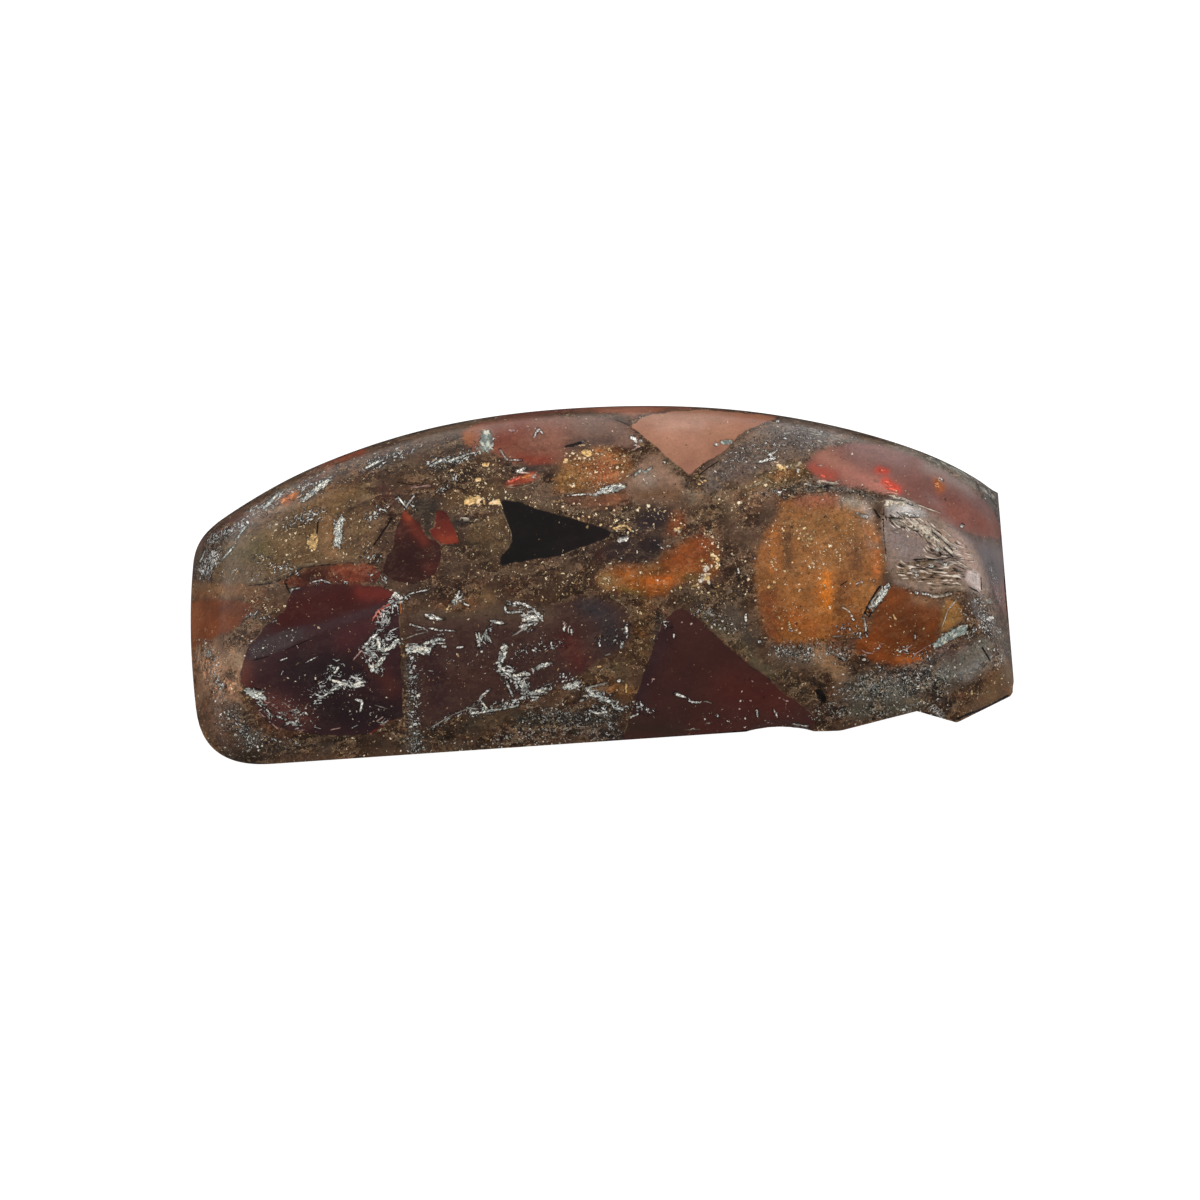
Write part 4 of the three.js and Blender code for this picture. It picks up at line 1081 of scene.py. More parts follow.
def draw_strokes(mesh, places, facing):
    """The single marks, kept on the mesh with their colours and how far each point lies from them."""
    shape = np.tile([FAR, FAR, 1.0], (len(places), 1))
    colour = np.zeros((len(places), 3))
    far = np.full(len(places), FAR)
    line_round = np.zeros(len(places))
    seen = np.flatnonzero(facing > LEAST_FACING)
    seen = seen[np.argsort(places[seen, 0])]
    columns = places[seen, 0]
    for kind, width, *ends in STROKES:
        shade, dark_line = STROKE_COLOURS[kind]
        ends = np.array(ends, float)
        for start, end in zip(ends, ends[1:]):
            middle = (start + end) / 2
            length = np.linalg.norm(end - start) / 2
            way = (end - start) / (length * 2)
            reach = length + width + FAR
            first, last = np.searchsorted(columns, [middle[0] - reach, middle[0] + reach])
            at = seen[first:last]
            at = at[np.abs(places[at, 1] - middle[1]) < reach]
            offset = places[at] - middle
            across = offset @ np.array([-way[1], way[0]])
            along = offset @ way
            half = np.array([width / 2, length + width / 3])
            outside = np.maximum(np.abs(np.stack([across, along], axis=1)) - half, 0)
            distance = np.linalg.norm(outside, axis=1)
            nearer = distance < far[at]
            at = at[nearer]
            own_shape = np.stack([across / half[0], along / half[1], np.full(len(across), half[0])], axis=1)
            shape[at] = own_shape[nearer]
            colour[at] = paint(*shade)
            line_round[at] = dark_line
            far[at] = distance[nearer]
    keep(mesh, "stroke", shape)
    keep(mesh, "stroke_colour", colour)
    keep(mesh, "stroke_far", far)
    keep(mesh, "stroke_line", line_round)


# How deep a fragment that the picture shows goes, in mm. Then the fragments of the sides and the
# underside: how many, their sizes, how many cuts shape each, and how fast they end towards the picture
CLAST_DEPTH = 3.0
HIDDEN_CLASTS = 80
HIDDEN_CLAST_SIZES = (0.4, 2.2)
HIDDEN_CLAST_SIDES = 7
HIDDEN_CLAST_FADE = 6
HIDDEN_OPALS = [
    DEEP_RED, BRICK_RED, AMBER_NODULE, SECOND_AMBER, SMALL_RED, MAROON_TRIANGLE, PINK_TRIANGLE, OLIVE_OPAL,
    GREY_LOBE, SPARKLING_LENS, BLACK_SHARD, LEFT_ORANGE,
]


def hidden_clasts(points, facing, rng):
    """Angular fragments for the sides and the underside, which the picture doesn't show."""
    edge = np.full(len(points), -FAR)
    colour = np.tile([*paint(*ROCK), 0.8], (len(points), 1))
    hidden = np.flatnonzero(facing < 0)
    for _ in range(HIDDEN_CLASTS):
        middle = points[rng.choice(hidden)]
        radius = rng.uniform(*HIDDEN_CLAST_SIZES)
        depth = np.full(len(points), radius)
        for _ in range(HIDDEN_CLAST_SIDES):
            way = rng.normal(size=3)
            way /= np.linalg.norm(way)
            depth = np.minimum(depth, radius * rng.uniform(0.5, 1) - (points - middle) @ way)
        depth = np.minimum(depth, -facing * HIDDEN_CLAST_FADE)
        opal = HIDDEN_OPALS[rng.integers(len(HIDDEN_OPALS))]
        paint_here = np.array([*paint(*opal["colour"]) * rng.uniform(0.6, 1.1), rng.uniform(0.5, 0.9)])
        edge, colour = laid_over(edge, colour, depth, np.tile(paint_here, (len(points), 1)))
    return edge, colour


def laid_over(edge, colour, depth, new_colour):
    """A fragment laid over those before it: the new depth inside the nearest edge, and the colours."""
    nearer = depth > np.where(edge > 0, 0, edge)
    colour = np.where(nearer[:, None], new_colour, colour)
    covered = np.where(edge > 0, np.minimum(edge, -depth), np.maximum(edge, depth))
    return np.where(depth > 0, depth, covered), colour


def surface(mesh):
    """The mesh's points and normals."""
    points = np.empty(len(mesh.vertices) * 3)
    mesh.vertices.foreach_get("co", points)
    normals = np.empty(len(mesh.vertices) * 3)
    mesh.vertex_normals.foreach_get("vector", normals)
    return points.reshape(-1, 3), normals.reshape(-1, 3)


def move(mesh, points):
    """The mesh's points moved to new places."""
    mesh.vertices.foreach_set("co", points.ravel())
    mesh.update()


def break_surface(mesh):
    """Ridges raised on the broken patch. Their crests and furrows are kept for the material, which paints
    highlights on the crests and shade in the furrows.
    """
    points, normals = surface(mesh)
    places, _ = seen_places(points)
    facing = normals @ -np.array(FORWARD)
    inside = np.clip(depth_inside(places, BROKEN) / 12, 0, 1) * np.clip(facing * 4, 0, 1)
    for outline in SMOOTH_PARTS:
        inside *= soft_step(-depth_inside(places, outline), 2)
    offset = places - np.array(BROKEN_MIDDLE)
    turn = LOWER_RIDGES + (UPPER_RIDGES - LOWER_RIDGES) * soft_step(8 - offset[:, 1], 14)
    along = offset[:, 0] * np.cos(turn) + offset[:, 1] * np.sin(turn)
    across = offset[:, 1] * np.cos(turn) - offset[:, 0] * np.sin(turn) + cloud(points / MM, 0.9, 21) * 4
    level = np.zeros(len(places))

    def drawn_out(size):
        return np.stack([across / size[0], along / size[1], level], axis=1)

    ridges = cloud(drawn_out(RIDGE_SIZE), 1, 22)
    teeth = cloud(drawn_out(TOOTH_SIZE), 1, 23)
    crest = (np.abs(ridges - 0.5) * 1.4 + teeth * 0.5 - 0.55) * inside
    points += normals * (crest * RIDGE_HEIGHT * MM)[:, None]
    move(mesh, points)
    keep(mesh, "crest", crest)
    keep(mesh, "ridge_place", drawn_out(GROOVE_SIZE))


def wear(mesh, corner, reach):
    """A corner of the outline rounded, as its wear has left it."""
    points, _ = surface(mesh)
    ends = np.empty(len(mesh.edges) * 2, int)
    mesh.edges.foreach_get("vertices", ends)
    ends = ends.reshape(-1, 2)
    away = np.linalg.norm(points[:, :2] / MM - np.array(corner), axis=1)
    ends = ends[(away < reach)[ends].all(axis=1)]
    at = np.unique(ends)
    number = np.zeros(len(points), int)
    number[at] = np.arange(len(at))
    ends = number[ends]
    part = points[at]
    count = np.bincount(ends.ravel(), minlength=len(at))[:, None]
    weight = soft_step(reach / 2 - away[at], reach / 2)[:, None] * WEAR_STRENGTH
    for _ in range(WEAR_PASSES):
        total = np.zeros_like(part)
        np.add.at(total, ends[:, 0], part[ends[:, 1]])
        np.add.at(total, ends[:, 1], part[ends[:, 0]])
        part += (total / count - part) * weight
    points[at] = part
    move(mesh, points)


def mark(piece):
    """All the markings of the stone, worked out for its points."""
    mesh = piece.data
    points, normals = surface(mesh)
    facing = normals @ -np.array(FORWARD)
    places, behind = seen_places(points)
    points = points / MM
    rng = np.random.default_rng(61)

    wobble = np.stack([cloud(points, 0.6, 1), cloud(points, 0.6, 2)], axis=1) * 2.6
    wobble += np.stack([cloud(points, 0.2, 3), cloud(points, 0.2, 4)], axis=1) * 1.4
    warped = places + wobble - 2.0

    shown = np.clip(facing * 8, 0, 1)
    hidden_rock = toned(warped, HIDDEN_ROCK)
    hidden_rock[:, :3] *= (0.6 + 0.8 * cloud(points, 1.7, 5))[:, None]
    rock = toned(warped, ROCK, ROCK_TONES)
    rock = hidden_rock + (rock - hidden_rock) * shown[:, None]
    rock[:, 3] = np.clip(cloud(points, 0.8, 9) * 1.8 - 0.6, 0, 0.7)
    edge, clast = hidden_clasts(points, facing, rng)
    for opal in OPALS:
        depth = depth_inside(warped, opal["outline"])
        new = toned(warped, opal["colour"], opal["tones"], opal.get("patches", ()), opal["clear"])
        if opal["soft"]:
            share = (soft_step(depth, opal["soft"]) * shown)[:, None]
            rock += (new - rock) * share
            clast += (new - clast) * share
        else:
            depth = depth / PIXELS_PER_MM
            level = behind[(depth > 0) & (facing > 0.15)].mean()
            depth = np.where(facing > 0, depth, np.minimum(depth, CLAST_DEPTH - np.abs(behind - level)))
            edge, clast = laid_over(edge, clast, depth, new)
    edge = np.minimum(edge, -depth_inside(warped, SEAM) / PIXELS_PER_MM)
    keep(mesh, "clast_edge", edge)
    for name, values in (("rock", rock), ("clast", clast)):
        keep(mesh, name + "_colour", values[:, :3])
        keep(mesh, name + "_clear", values[:, 3])

    for seed, (name, strokes) in enumerate((("gold", GOLD), ("frost", FROST), ("silver", SILVER)), 6):
        patchy = np.clip(cloud(points, 1.5, seed) * 2 - 1, 0, 0.6)
        amount = spread(places, strokes)
        keep(mesh, name, patchy + (amount - patchy) * shown)
    broken = np.clip(depth_inside(places, BROKEN) / 10 + 0.3, 0, 1) * shown
    keep(mesh, "broken", broken * np.clip(spread(places, SHARP_RIDGES) + 0.3, 0, 1))
    draw_strokes(mesh, places, facing)


stone = fine_stone()
for corner, reach in WORN_CORNERS:
    wear(stone.data, corner, reach)
break_surface(stone.data)
mark(stone)


# Node helpers
def feed(tree, socket, value):
    """A socket set to a value, or linked to another socket."""
    if isinstance(value, bpy.types.NodeSocket):
        tree.links.new(value, socket)
    else:
        socket.default_value = value


def node(tree, kind, inputs=None, **settings):
    """A node with its settings and its inputs."""
    made = tree.nodes.new("ShaderNode" + kind)
    for name, value in settings.items():
        setattr(made, name, value)
    for key, value in (inputs or {}).items():
        feed(tree, made.inputs[key], value)
    return made


def maths(tree, operation, first, second=0.0, third=0.0):
    """One step of arithmetic."""
    return node(tree, "Math", {0: first, 1: second, 2: third}, operation=operation).outputs[0]


def times(tree, first, second):
    return maths(tree, "MULTIPLY", first, second)


def less(tree, first, second):
    return maths(tree, "SUBTRACT", first, second)


def sloped(tree, value, slope, start):
    """A value times its slope, plus the start."""
    return maths(tree, "MULTIPLY_ADD", value, slope, start)


def centred(tree, value, size):
    """How far a random value lies from its middle, made larger or smaller."""
    return times(tree, less(tree, value, 0.5), size)


def stepped(tree, value, low, high, start=0.0, end=1.0):
    """A smooth step from start to end as the value goes from low to high."""
    inputs = {"Value": value, "From Min": low, "From Max": high, "To Min": start, "To Max": end}
    return node(tree, "MapRange", inputs, interpolation_type="SMOOTHSTEP").outputs["Result"]


def mixed(tree, share, first, second, blend="MIX"):
    """Two colours mixed: the second one's share, and how they blend."""
    inputs = {0: share, 6: first, 7: second}
    return node(tree, "Mix", inputs, data_type="RGBA", blend_type=blend).outputs[2]


def scaled(tree, vector, amounts):
    return node(tree, "VectorMath", {0: vector, 1: amounts}, operation="MULTIPLY").outputs[0]


def shifted(tree, vector, by, operation="ADD"):
    """A vector plus another one, or less it."""
    return node(tree, "VectorMath", {0: vector, 1: by}, operation=operation).outputs[0]


def turned(tree, vector, angle):
    """A vector turned round the upright axis."""
    return node(tree, "VectorRotate", {"Vector": vector, "Angle": angle}, rotation_type="Z_AXIS").outputs[0]


def noise(tree, place, scale, detail, roughness=0.5, output="Fac"):
    """Soft noise. Its roughness is how strong the finest of it is."""
    inputs = {"Vector": place, "Scale": scale, "Detail": detail, "Roughness": roughness}
    return node(tree, "TexNoise", inputs).outputs[output]


def bent(tree, place, scale, detail, amount, roughness=0.5):
    """A place moved by soft noise, so that what is drawn there bends."""
    bend = noise(tree, place, scale, detail, roughness, "Color")
    return shifted(tree, place, scaled(tree, bend, (amount, amount, amount)))


def cells(tree, place, scale):
    """Random cells, and three random values for each."""
    made = node(tree, "TexVoronoi", {"Vector": place, "Scale": scale}).outputs
    return made, node(tree, "SeparateColor", {0: made["Color"]}).outputs


def cell_border(tree, place, scale):
    """How far it is from here to the nearest border between two cells."""
    inputs = {"Vector": place, "Scale": scale}
    return node(tree, "TexVoronoi", inputs, feature="DISTANCE_TO_EDGE").outputs["Distance"]


def group(name, inputs, outputs):
    """An empty node group with named inputs, and with named values as its outputs."""
    tree = bpy.data.node_groups.new(name, "ShaderNodeTree")
    for label, kind in inputs:
        tree.interface.new_socket(label, in_out="INPUT", socket_type="NodeSocket" + kind)
    for label in outputs:
        tree.interface.new_socket(label, in_out="OUTPUT", socket_type="NodeSocketFloat")
    return tree, tree.nodes.new("NodeGroupInput").outputs, tree.nodes.new("NodeGroupOutput").inputs


def placed(tree, made_group, inputs):
    """A group set into a tree, with its inputs."""
    holder = tree.nodes.new("ShaderNodeGroup")
    holder.node_tree = made_group
    for key, value in inputs.items():
        feed(tree, holder.inputs[key], value)
    return holder.outputs


def screen(red, green, blue):
    """A screen colour as a shader's colour."""
    return (*paint(red, green, blue), 1.0)


def grains():
    """Sandy rock: soft patches, small fragments, streaks, sand, specks and dark cracks."""
    tree, given, out = group(
        "grains",
        [("Place", "Vector")],
        ["Patch", "Fragment", "Border", "Warmth", "Streak", "Sand", "Speck", "Crack", "Fold", "Seam"],
    )
    place = given["Place"]
    moved = bent(tree, place, 2.2, 3.0, 0.7, 0.6)
    _, random = cells(tree, moved, 3.2)
    tint = noise(tree, moved, 2.0, 3.0)
    drawn = scaled(tree, turned(tree, moved, STREAK_TURN), (0.9, 4.5, 4.5))
    made = dict(
        Patch=noise(tree, moved, 1.7, 5.0, 0.74),
        Fragment=random[0],
        Border=stepped(tree, cell_border(tree, moved, 3.2), 0.1, 0.02),
        Warmth=sloped(tree, random[1], 0.3, times(tree, tint, 0.7)),
        Streak=noise(tree, drawn, 1.2, 4.0, 0.6),
        Sand=noise(tree, place, 8.5, 2.0, 0.9),
        Speck=noise(tree, moved, 8.0, 1.0),
    )
    longer = scaled(tree, turned(tree, moved, CRACK_TURN), (0.6, 1.5, 1.5))
    folds = noise(tree, longer, 1.6, 4.0, 0.6)
    for level, name in ((0.5, "Crack"), (0.42, "Fold"), (0.57, "Seam")):
        away = maths(tree, "ABSOLUTE", less(tree, folds, level))
        made[name] = stepped(tree, away, 0.045, 0.01)
    for name, value in made.items():
        tree.links.new(value, out[name])
    return tree


def glints():
    """Small bright points with a dark line round each."""
    tree, given, out = group(
        "glints",
        [("Place", "Vector"), ("Scale", "Float"), ("Amount", "Float")],
        ["Mask", "Rim", "Core", "Tone"],
    )
    points, random = cells(tree, given["Place"], given["Scale"])
    present = maths(tree, "LESS_THAN", random[0], given["Amount"])
    size = sloped(tree, random[1], 0.26, 0.1)
    depth = less(tree, size, points["Distance"])
    tree.links.new(times(tree, present, stepped(tree, depth, -0.05, 0.07)), out["Mask"])
    tree.links.new(times(tree, present, stepped(tree, depth, -0.3, -0.06)), out["Rim"])
    tree.links.new(stepped(tree, depth, 0.03, 0.16), out["Core"])
    tree.links.new(random[2], out["Tone"])
    return tree


def strands():
    """Silvery flakes: patches of fine strands that each run their own way, with dark lines between."""
    tree, given, out = group(
        "strands", [("Place", "Vector"), ("Amount", "Float")], ["Mask", "Gap", "Tone"]
    )
    moved = bent(tree, given["Place"], 3.0, 1.0, 0.3)
    flakes, random = cells(tree, moved, 1.7)
    local = shifted(tree, moved, flakes["Position"], "SUBTRACT")
    own_way = turned(tree, local, sloped(tree, random[0], 2.8, -1.9))
    apart = scaled(tree, flakes["Color"], (40, 40, 40))
    own = shifted(tree, scaled(tree, own_way, (4.2, 11.5, 8.0)), apart)
    over = less(tree, noise(tree, own, 1.0, 2.0, 0.65), sloped(tree, given["Amount"], -0.22, 0.725))
    some = stepped(tree, given["Amount"], 0.08, 0.3)
    tree.links.new(times(tree, some, stepped(tree, over, 0.0, 0.025)), out["Mask"])
    tree.links.new(times(tree, some, stepped(tree, over, -0.13, -0.04)), out["Gap"])
    tree.links.new(sloped(tree, over, 3.0, sloped(tree, random[1], 0.6, 0.1)), out["Tone"])
    return tree


def strokes():
    """The mask of the strokes, from a point's place on the nearest one, their strands and their dark line."""
    tree, given, out = group(
        "strokes",
        [("Place", "Vector"), ("Shape", "Vector"), ("Far", "Float")],
        ["Mask", "Rim", "Core", "Strand", "Gap"],
    )
    place = given["Place"]
    across, along, half_width = node(tree, "SeparateXYZ", {0: given["Shape"]}).outputs
    squared = times(tree, along, along)
    radius = maths(tree, "SQRT", sloped(tree, across, across, times(tree, squared, squared)))
    ragged = sloped(tree, noise(tree, place, 7.0, 2.0), 1.9, -0.05)
    depth = times(tree, less(tree, ragged, radius), half_width)
    near = stepped(tree, given["Far"], 2.2, 1.4)
    tree.links.new(times(tree, stepped(tree, depth, -0.25, 0.35), near), out["Mask"])
    tree.links.new(times(tree, stepped(tree, depth, -1.8, -0.4), near), out["Rim"])
    tree.links.new(stepped(tree, depth, -0.2, 1.1), out["Core"])

    aside = times(tree, times(tree, across, half_width), 0.3)
    along_stroke = node(tree, "CombineXYZ", {0: aside, 1: times(tree, along, 1.3), 2: half_width}).outputs[0]
    bend = scaled(tree, noise(tree, place, 8.0, 1.0, output="Color"), (0.9, 0.9, 0.9))
    own = shifted(tree, along_stroke, shifted(tree, scaled(tree, place, (3.4, 3.4, 3.4)), bend))
    _, random = cells(tree, own, 1.25)
    fine = times(tree, noise(tree, own, 1.6, 2.0), 0.65)
    tree.links.new(sloped(tree, random[0], 0.4, fine), out["Strand"])
    tree.links.new(stepped(tree, cell_border(tree, own, 1.25), 0.12, 0.02), out["Gap"])
    return tree


# How the rock's streaks and cracks lie
STREAK_TURN = math.radians(-24)
CRACK_TURN = math.radians(-12)
# The lines in the rock, with their strength and shade
ROCK_LINES = [
    ("Border", 0.5, (38, 29, 24)), ("Crack", 0.65, (28, 22, 19)), ("Seam", 0.55, (34, 27, 23)),
    ("Fold", 0.5, (150, 122, 94)),
]
# The sizes of grit, with how much there is of it
GRIT = [(9.5, 0.34), (5.5, 0.14)]
# The sizes of dust, with how much there is of it, from what amount, and how bright it is
DUST = [(10.5, 0.85, 0.0, 0.55), (6.8, 0.7, 0.0, 0.9), (4.3, 0.6, -0.14, 1.2)]
POLISH = {"Roughness": 0.4, "Specular IOR Level": 0.2, "Coat Roughness": 0.04, "Coat IOR": 1.45}
BROKEN_BUMP = 0.12 * MM

GRAINS = grains()
GLINTS = glints()
STRANDS = strands()
STROKE_MASK = strokes()


def opal_in_rock():
    """The stone's material: opal fragments in sandy rock, dust, silvery strands, flecks and a polish."""
    material = bpy.data.materials.new("opal_in_rock")
    material.use_nodes = True
    tree = material.node_tree
    shader = tree.nodes["Principled BSDF"]
    object_place = node(tree, "TexCoord").outputs["Object"]
    place = scaled(tree, object_place, (1 / MM, 1 / MM, 1 / MM))

    def kept(name, output="Fac"):
        return node(tree, "Attribute", attribute_name=name).outputs[output]

    grain = placed(tree, GRAINS, {"Place": place})
    frost = kept("frost")
    gold = kept("gold")
    broken = kept("broken")
    crest = kept("crest")

    # Opal or rock here, its colour, and how much of the rock's texture it has
    ragged = noise(tree, place, 6.0, 2.0, 0.6)
    edge = maths(tree, "ADD", centred(tree, ragged, 0.07), kept("clast_edge"))
    inside = stepped(tree, edge, -0.025, 0.025)
    body = mixed(tree, inside, kept("rock_colour", "Color"), kept("clast_colour", "Color"))
    clearer = less(tree, kept("clast_clear"), kept("rock_clear"))
    clear = sloped(tree, inside, clearer, kept("rock_clear"))
    rough = less(tree, 1.0, clear)

    # Patches, fragments and streaks of mixed shades, sand, dark cracks, dark and pale specks
    shade = maths(tree, "ADD", centred(tree, grain["Patch"], 2.5), centred(tree, grain["Fragment"], 0.6))
    shade = times(tree, maths(tree, "ADD", shade, centred(tree, grain["Streak"], 2.3)), rough)
    shade = maths(tree, "ADD", shade, centred(tree, noise(tree, place, 0.9, 3.0, 0.55), 0.6))
    shade = maths(tree, "MINIMUM", maths(tree, "MAXIMUM", maths(tree, "ADD", shade, 1.0), 0.35), 2.0)
    sandy = sloped(tree, rough, 2.9, sloped(tree, frost, 1.6, 0.4))
    sanded = sloped(tree, centred(tree, grain["Sand"], 1.0), sandy, 1.0)
    body = mixed(tree, 1.0, body, times(tree, shade, maths(tree, "MAXIMUM", sanded, 0.25)), "MULTIPLY")
    warmth = stepped(tree, grain["Warmth"], 0.35, 0.65)
    tint = mixed(tree, warmth, (1.02, 0.95, 0.92, 1.0), (1.22, 0.93, 0.74, 1.0))
    body = mixed(tree, rough, body, mixed(tree, 1.0, body, tint, "MULTIPLY"))
    for name, strength, shade in ROCK_LINES:
        share = times(tree, grain[name], times(tree, rough, strength))
        body = mixed(tree, share, body, screen(*shade))
    dark_limit = sloped(tree, frost, 0.04, sloped(tree, rough, 0.115, 0.24))
    dark = stepped(tree, less(tree, dark_limit, grain["Speck"]), 0.0, 0.04, 0.0, 0.88)
    body = mixed(tree, dark, body, screen(25, 21, 20))
    pale_limit = sloped(tree, frost, -0.06, sloped(tree, rough, -0.09, 0.74))
    pale = stepped(tree, less(tree, grain["Speck"], pale_limit), 0.0, 0.05, 0.0, 0.85)
    pale = times(tree, pale, stepped(tree, rough, 0.0, 0.08))
    pale_shade = mixed(tree, stepped(tree, frost, 0.1, 0.6), screen(172, 138, 98), screen(168, 165, 154))
    body = mixed(tree, pale, body, pale_shade)

    # A thin dark or pale line here and there round a fragment
    off_edge = maths(tree, "ABSOLUTE", edge)
    some = noise(tree, place, 1.9, 3.0)
    line = times(tree, stepped(tree, off_edge, 0.05, 0.01), stepped(tree, some, 0.52, 0.62, 0.0, 0.65))
    body = mixed(tree, line, body, screen(30, 24, 20))
    line = times(tree, stepped(tree, off_edge, 0.04, 0.01), stepped(tree, some, 0.44, 0.36, 0.0, 0.45))
    body = mixed(tree, line, body, screen(140, 112, 84))

    # Grit, then dust: bright points of three sizes, gold or white. The near-white core of each dust point is
    # a painted glint
    dusty_place = bent(tree, place, 13.0, 1.0, 0.2)
    for scale, share in GRIT:
        inputs = {"Place": dusty_place, "Scale": scale, "Amount": times(tree, rough, share)}
        grit = placed(tree, GLINTS, inputs)
        pale_grit = stepped(tree, grit["Tone"], 0.5, 0.6)
        grit_tone = mixed(tree, pale_grit, screen(28, 21, 18), screen(192, 154, 108))
        body = mixed(tree, times(tree, grit["Mask"], 0.8), body, grit_tone)
    gold = times(tree, gold, sloped(tree, inside, -0.98, 1.0))
    dust = maths(tree, "MAXIMUM", gold, times(tree, rough, 0.16))
    dust = maths(tree, "MAXIMUM", dust, times(tree, frost, 0.7))
    golden = stepped(tree, less(tree, gold, frost), -0.3, 0.1)
    for scale, more, start, brightness in DUST:
        inputs = {"Place": dusty_place, "Scale": scale, "Amount": sloped(tree, dust, more, start)}
        glint = placed(tree, GLINTS, inputs)
        body = mixed(tree, times(tree, glint["Rim"], 0.4), body, screen(34, 25, 19))
        tone = sloped(tree, glint["Tone"], 0.8, brightness - 0.55)
        warm = mixed(tree, tone, screen(128, 74, 34), screen(255, 222, 164))
        cold = mixed(tree, tone, screen(104, 100, 92), screen(232, 231, 224))
        bright = times(tree, glint["Core"], tone)
        shining = mixed(tree, bright, mixed(tree, golden, cold, warm), screen(255, 244, 220))
        body = mixed(tree, glint["Mask"], body, shining)

    # Silvery strands
    strand = placed(tree, STRANDS, {"Place": place, "Amount": kept("silver")})
    body = mixed(tree, times(tree, strand["Gap"], 0.9), body, screen(26, 22, 22))
    strand_tone = mixed(tree, strand["Tone"], screen(112, 116, 114), screen(246, 246, 240))
    body = mixed(tree, strand["Mask"], body, strand_tone)

    # The crests and furrows of the broken patch: painted highlights on the crests and painted shade in the
    # furrows
    lines = noise(tree, kept("ridge_place", "Vector"), 1.0, 2.0)
    sharpness = stepped(tree, broken, 0.25, 0.9)
    ridge_highlight_and_shade = sloped(tree, centred(tree, lines, 3.4), sharpness, times(tree, crest, 0.5))
    body = mixed(tree, stepped(tree, ridge_highlight_and_shade, -0.16, -0.36, 0.0, 0.9), body, screen(36, 30, 27))
    body = mixed(tree, stepped(tree, ridge_highlight_and_shade, 0.16, 0.42, 0.0, 0.95), body, screen(242, 228, 212))

    # The single marks
    inputs = {"Place": place, "Shape": kept("stroke", "Vector"), "Far": kept("stroke_far")}
    stroke = placed(tree, STROKE_MASK, inputs)
    rim = times(tree, kept("stroke_line"), stepped(tree, ragged, 0.4, 0.56, 0.1, 0.85))
    body = mixed(tree, times(tree, stroke["Rim"], rim), body, screen(27, 22, 21))
    silvery = stepped(tree, kept("stroke_line"), 0.5, 0.8)
    strands_here = stepped(tree, stroke["Strand"], 0.34, 0.62, 0.4, 1.0)
    strands_here = times(tree, strands_here, sloped(tree, silvery, 0.6, 1.1))
    # Painted light on the strokes: each is lighter in its middle than at its edge, and the middle of a bright
    # stroke turns near-white, a painted glint.
    strands_here = times(tree, strands_here, sloped(tree, stroke["Core"], 0.5, 0.6))
    mark_colour = mixed(tree, 1.0, kept("stroke_colour", "Color"), strands_here, "MULTIPLY")
    shining = times(tree, stroke["Core"], kept("stroke_line"))
    shining = times(tree, shining, stepped(tree, stroke["Strand"], 0.58, 0.72))
    mark_colour = mixed(tree, shining, mark_colour, screen(250, 240, 218))
    mark_colour = mixed(tree, times(tree, stroke["Gap"], silvery), mark_colour, screen(34, 29, 28))
    body = mixed(tree, stroke["Mask"], body, mark_colour)

    tree.links.new(body, shader.inputs["Base Color"])
    for name, value in POLISH.items():
        shader.inputs[name].default_value = value
    tree.links.new(stepped(tree, broken, 0.2, 0.8, 1.0, 0.6), shader.inputs["Coat Weight"])
    crumbs = times(tree, noise(tree, place, 3.5, 4.0, 0.7), broken)
    bump = node(tree, "Bump", {"Height": crumbs, "Strength": 0.6, "Distance": BROKEN_BUMP})
    tree.links.new(bump.outputs[0], shader.inputs["Normal"])
    return material


stone.data.materials.clear()
stone.data.materials.append(opal_in_rock())
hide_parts("stone")
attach(stone, "root")


# Floor and light
FLOOR_SIZE = 1.6
LAMP_DISTANCE = 0.6


def floor():
    """A plain pale floor. It lights the stone, and isn't mirrored in its polish."""
    bpy.ops.object.select_all(action="DESELECT")
    bpy.ops.mesh.primitive_plane_add(size=FLOOR_SIZE, location=(0, 0, CAD_BOX[0][2]))
    plane = bpy.context.active_object
    plane.name = "floor"
    bpy.ops.object.transform_apply(location=True, rotation=True, scale=True)
    pale = bpy.data.materials.new("pale_floor")
    pale.use_nodes = True
    shader = pale.node_tree.nodes["Principled BSDF"]
    shader.inputs["Base Color"].default_value = (0.2, 0.2, 0.2, 1)
    shader.inputs["Roughness"].default_value = 0.9
    shader.inputs["Emission Color"].default_value = (1, 1, 1, 1)
    shader.inputs["Emission Strength"].default_value = 1.0
    plane.data.materials.append(pale)
    plane.visible_glossy = False


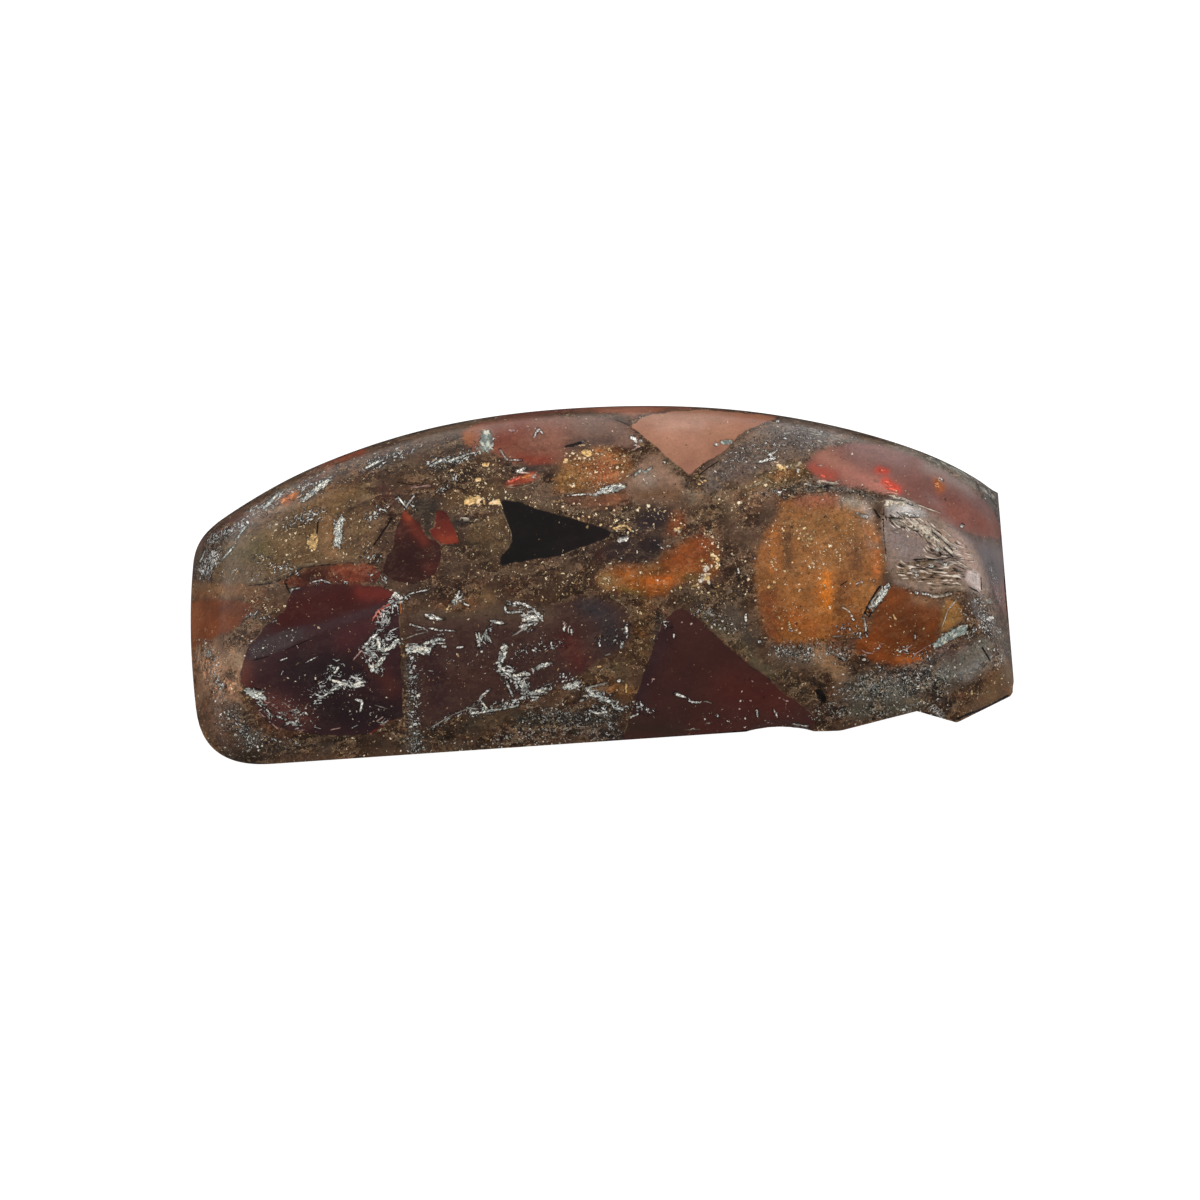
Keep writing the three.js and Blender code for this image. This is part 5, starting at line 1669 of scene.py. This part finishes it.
def softbox(name, azimuth, elevation, size, power):
    """A square lamp that faces the stone, and isn't mirrored in it. Azimuth 0 is behind the stone."""
    data = bpy.data.lights.new(name, "AREA")
    data.shape = "RECTANGLE"
    data.size = size
    data.size_y = size
    data.energy = power
    lamp = bpy.data.objects.new(name, data)
    turn = math.radians(azimuth)
    rise = math.radians(elevation)
    out = Vector((math.sin(turn) * math.cos(rise), math.cos(turn) * math.cos(rise), math.sin(rise)))
    lamp.location = STONE_MIDDLE + out * LAMP_DISTANCE
    lamp.rotation_euler = (-out).to_track_quat("-Z", "Y").to_euler()
    lamp.visible_glossy = False
    bpy.context.scene.collection.objects.link(lamp)


# What the polish mirrors: how bright the room is in each direction
def studio():
    """The room: white to the camera, dim round the stone, with pale walls that its polish mirrors."""
    world = bpy.data.worlds.new("studio")
    bpy.context.scene.world = world
    world.use_nodes = True
    tree = world.node_tree
    way = node(tree, "TexCoord").outputs["Generated"]
    x, y, z = node(tree, "SeparateXYZ", {0: way}).outputs
    below_top = stepped(tree, z, 0.85, 0.2)
    above_floor = stepped(tree, z, -0.3, 0.05)
    low_right = times(tree, stepped(tree, x, 0.3, 0.7, 0.0, 0.2), stepped(tree, z, 0.45, -0.1))
    left = stepped(tree, x, -0.35, -0.8, 0.0, 0.3)
    beside = times(tree, stepped(tree, x, 0.25, 0.6, 0.0, 0.45), stepped(tree, z, 0.4, 0.15))
    behind = times(tree, stepped(tree, y, 0.3, 0.75, 0.0, 0.75), less(tree, 1.0, beside))
    walls = times(tree, sloped(tree, below_top, behind, left), above_floor)
    mirrored = maths(tree, "ADD", maths(tree, "ADD", walls, low_right), 0.03)
    rays = node(tree, "LightPath").outputs
    lit = node(tree, "Mix", {0: rays["Is Glossy Ray"], 2: 0.12, 3: mirrored}, data_type="FLOAT").outputs[0]
    strength = node(tree, "Mix", {0: rays["Is Camera Ray"], 2: lit, 3: 1.0}, data_type="FLOAT").outputs[0]
    tree.links.new(strength, tree.nodes["Background"].inputs["Strength"])
    tree.nodes["Background"].inputs["Color"].default_value = (1, 1, 1, 1)


floor()
softbox("top_softbox", 0, 82, 0.5, 2)
softbox("left_softbox", -80, 45, 0.4, 1)
softbox("right_softbox", 80, 45, 0.4, 1)
studio()
bpy.context.scene.view_settings.view_transform = "Standard"
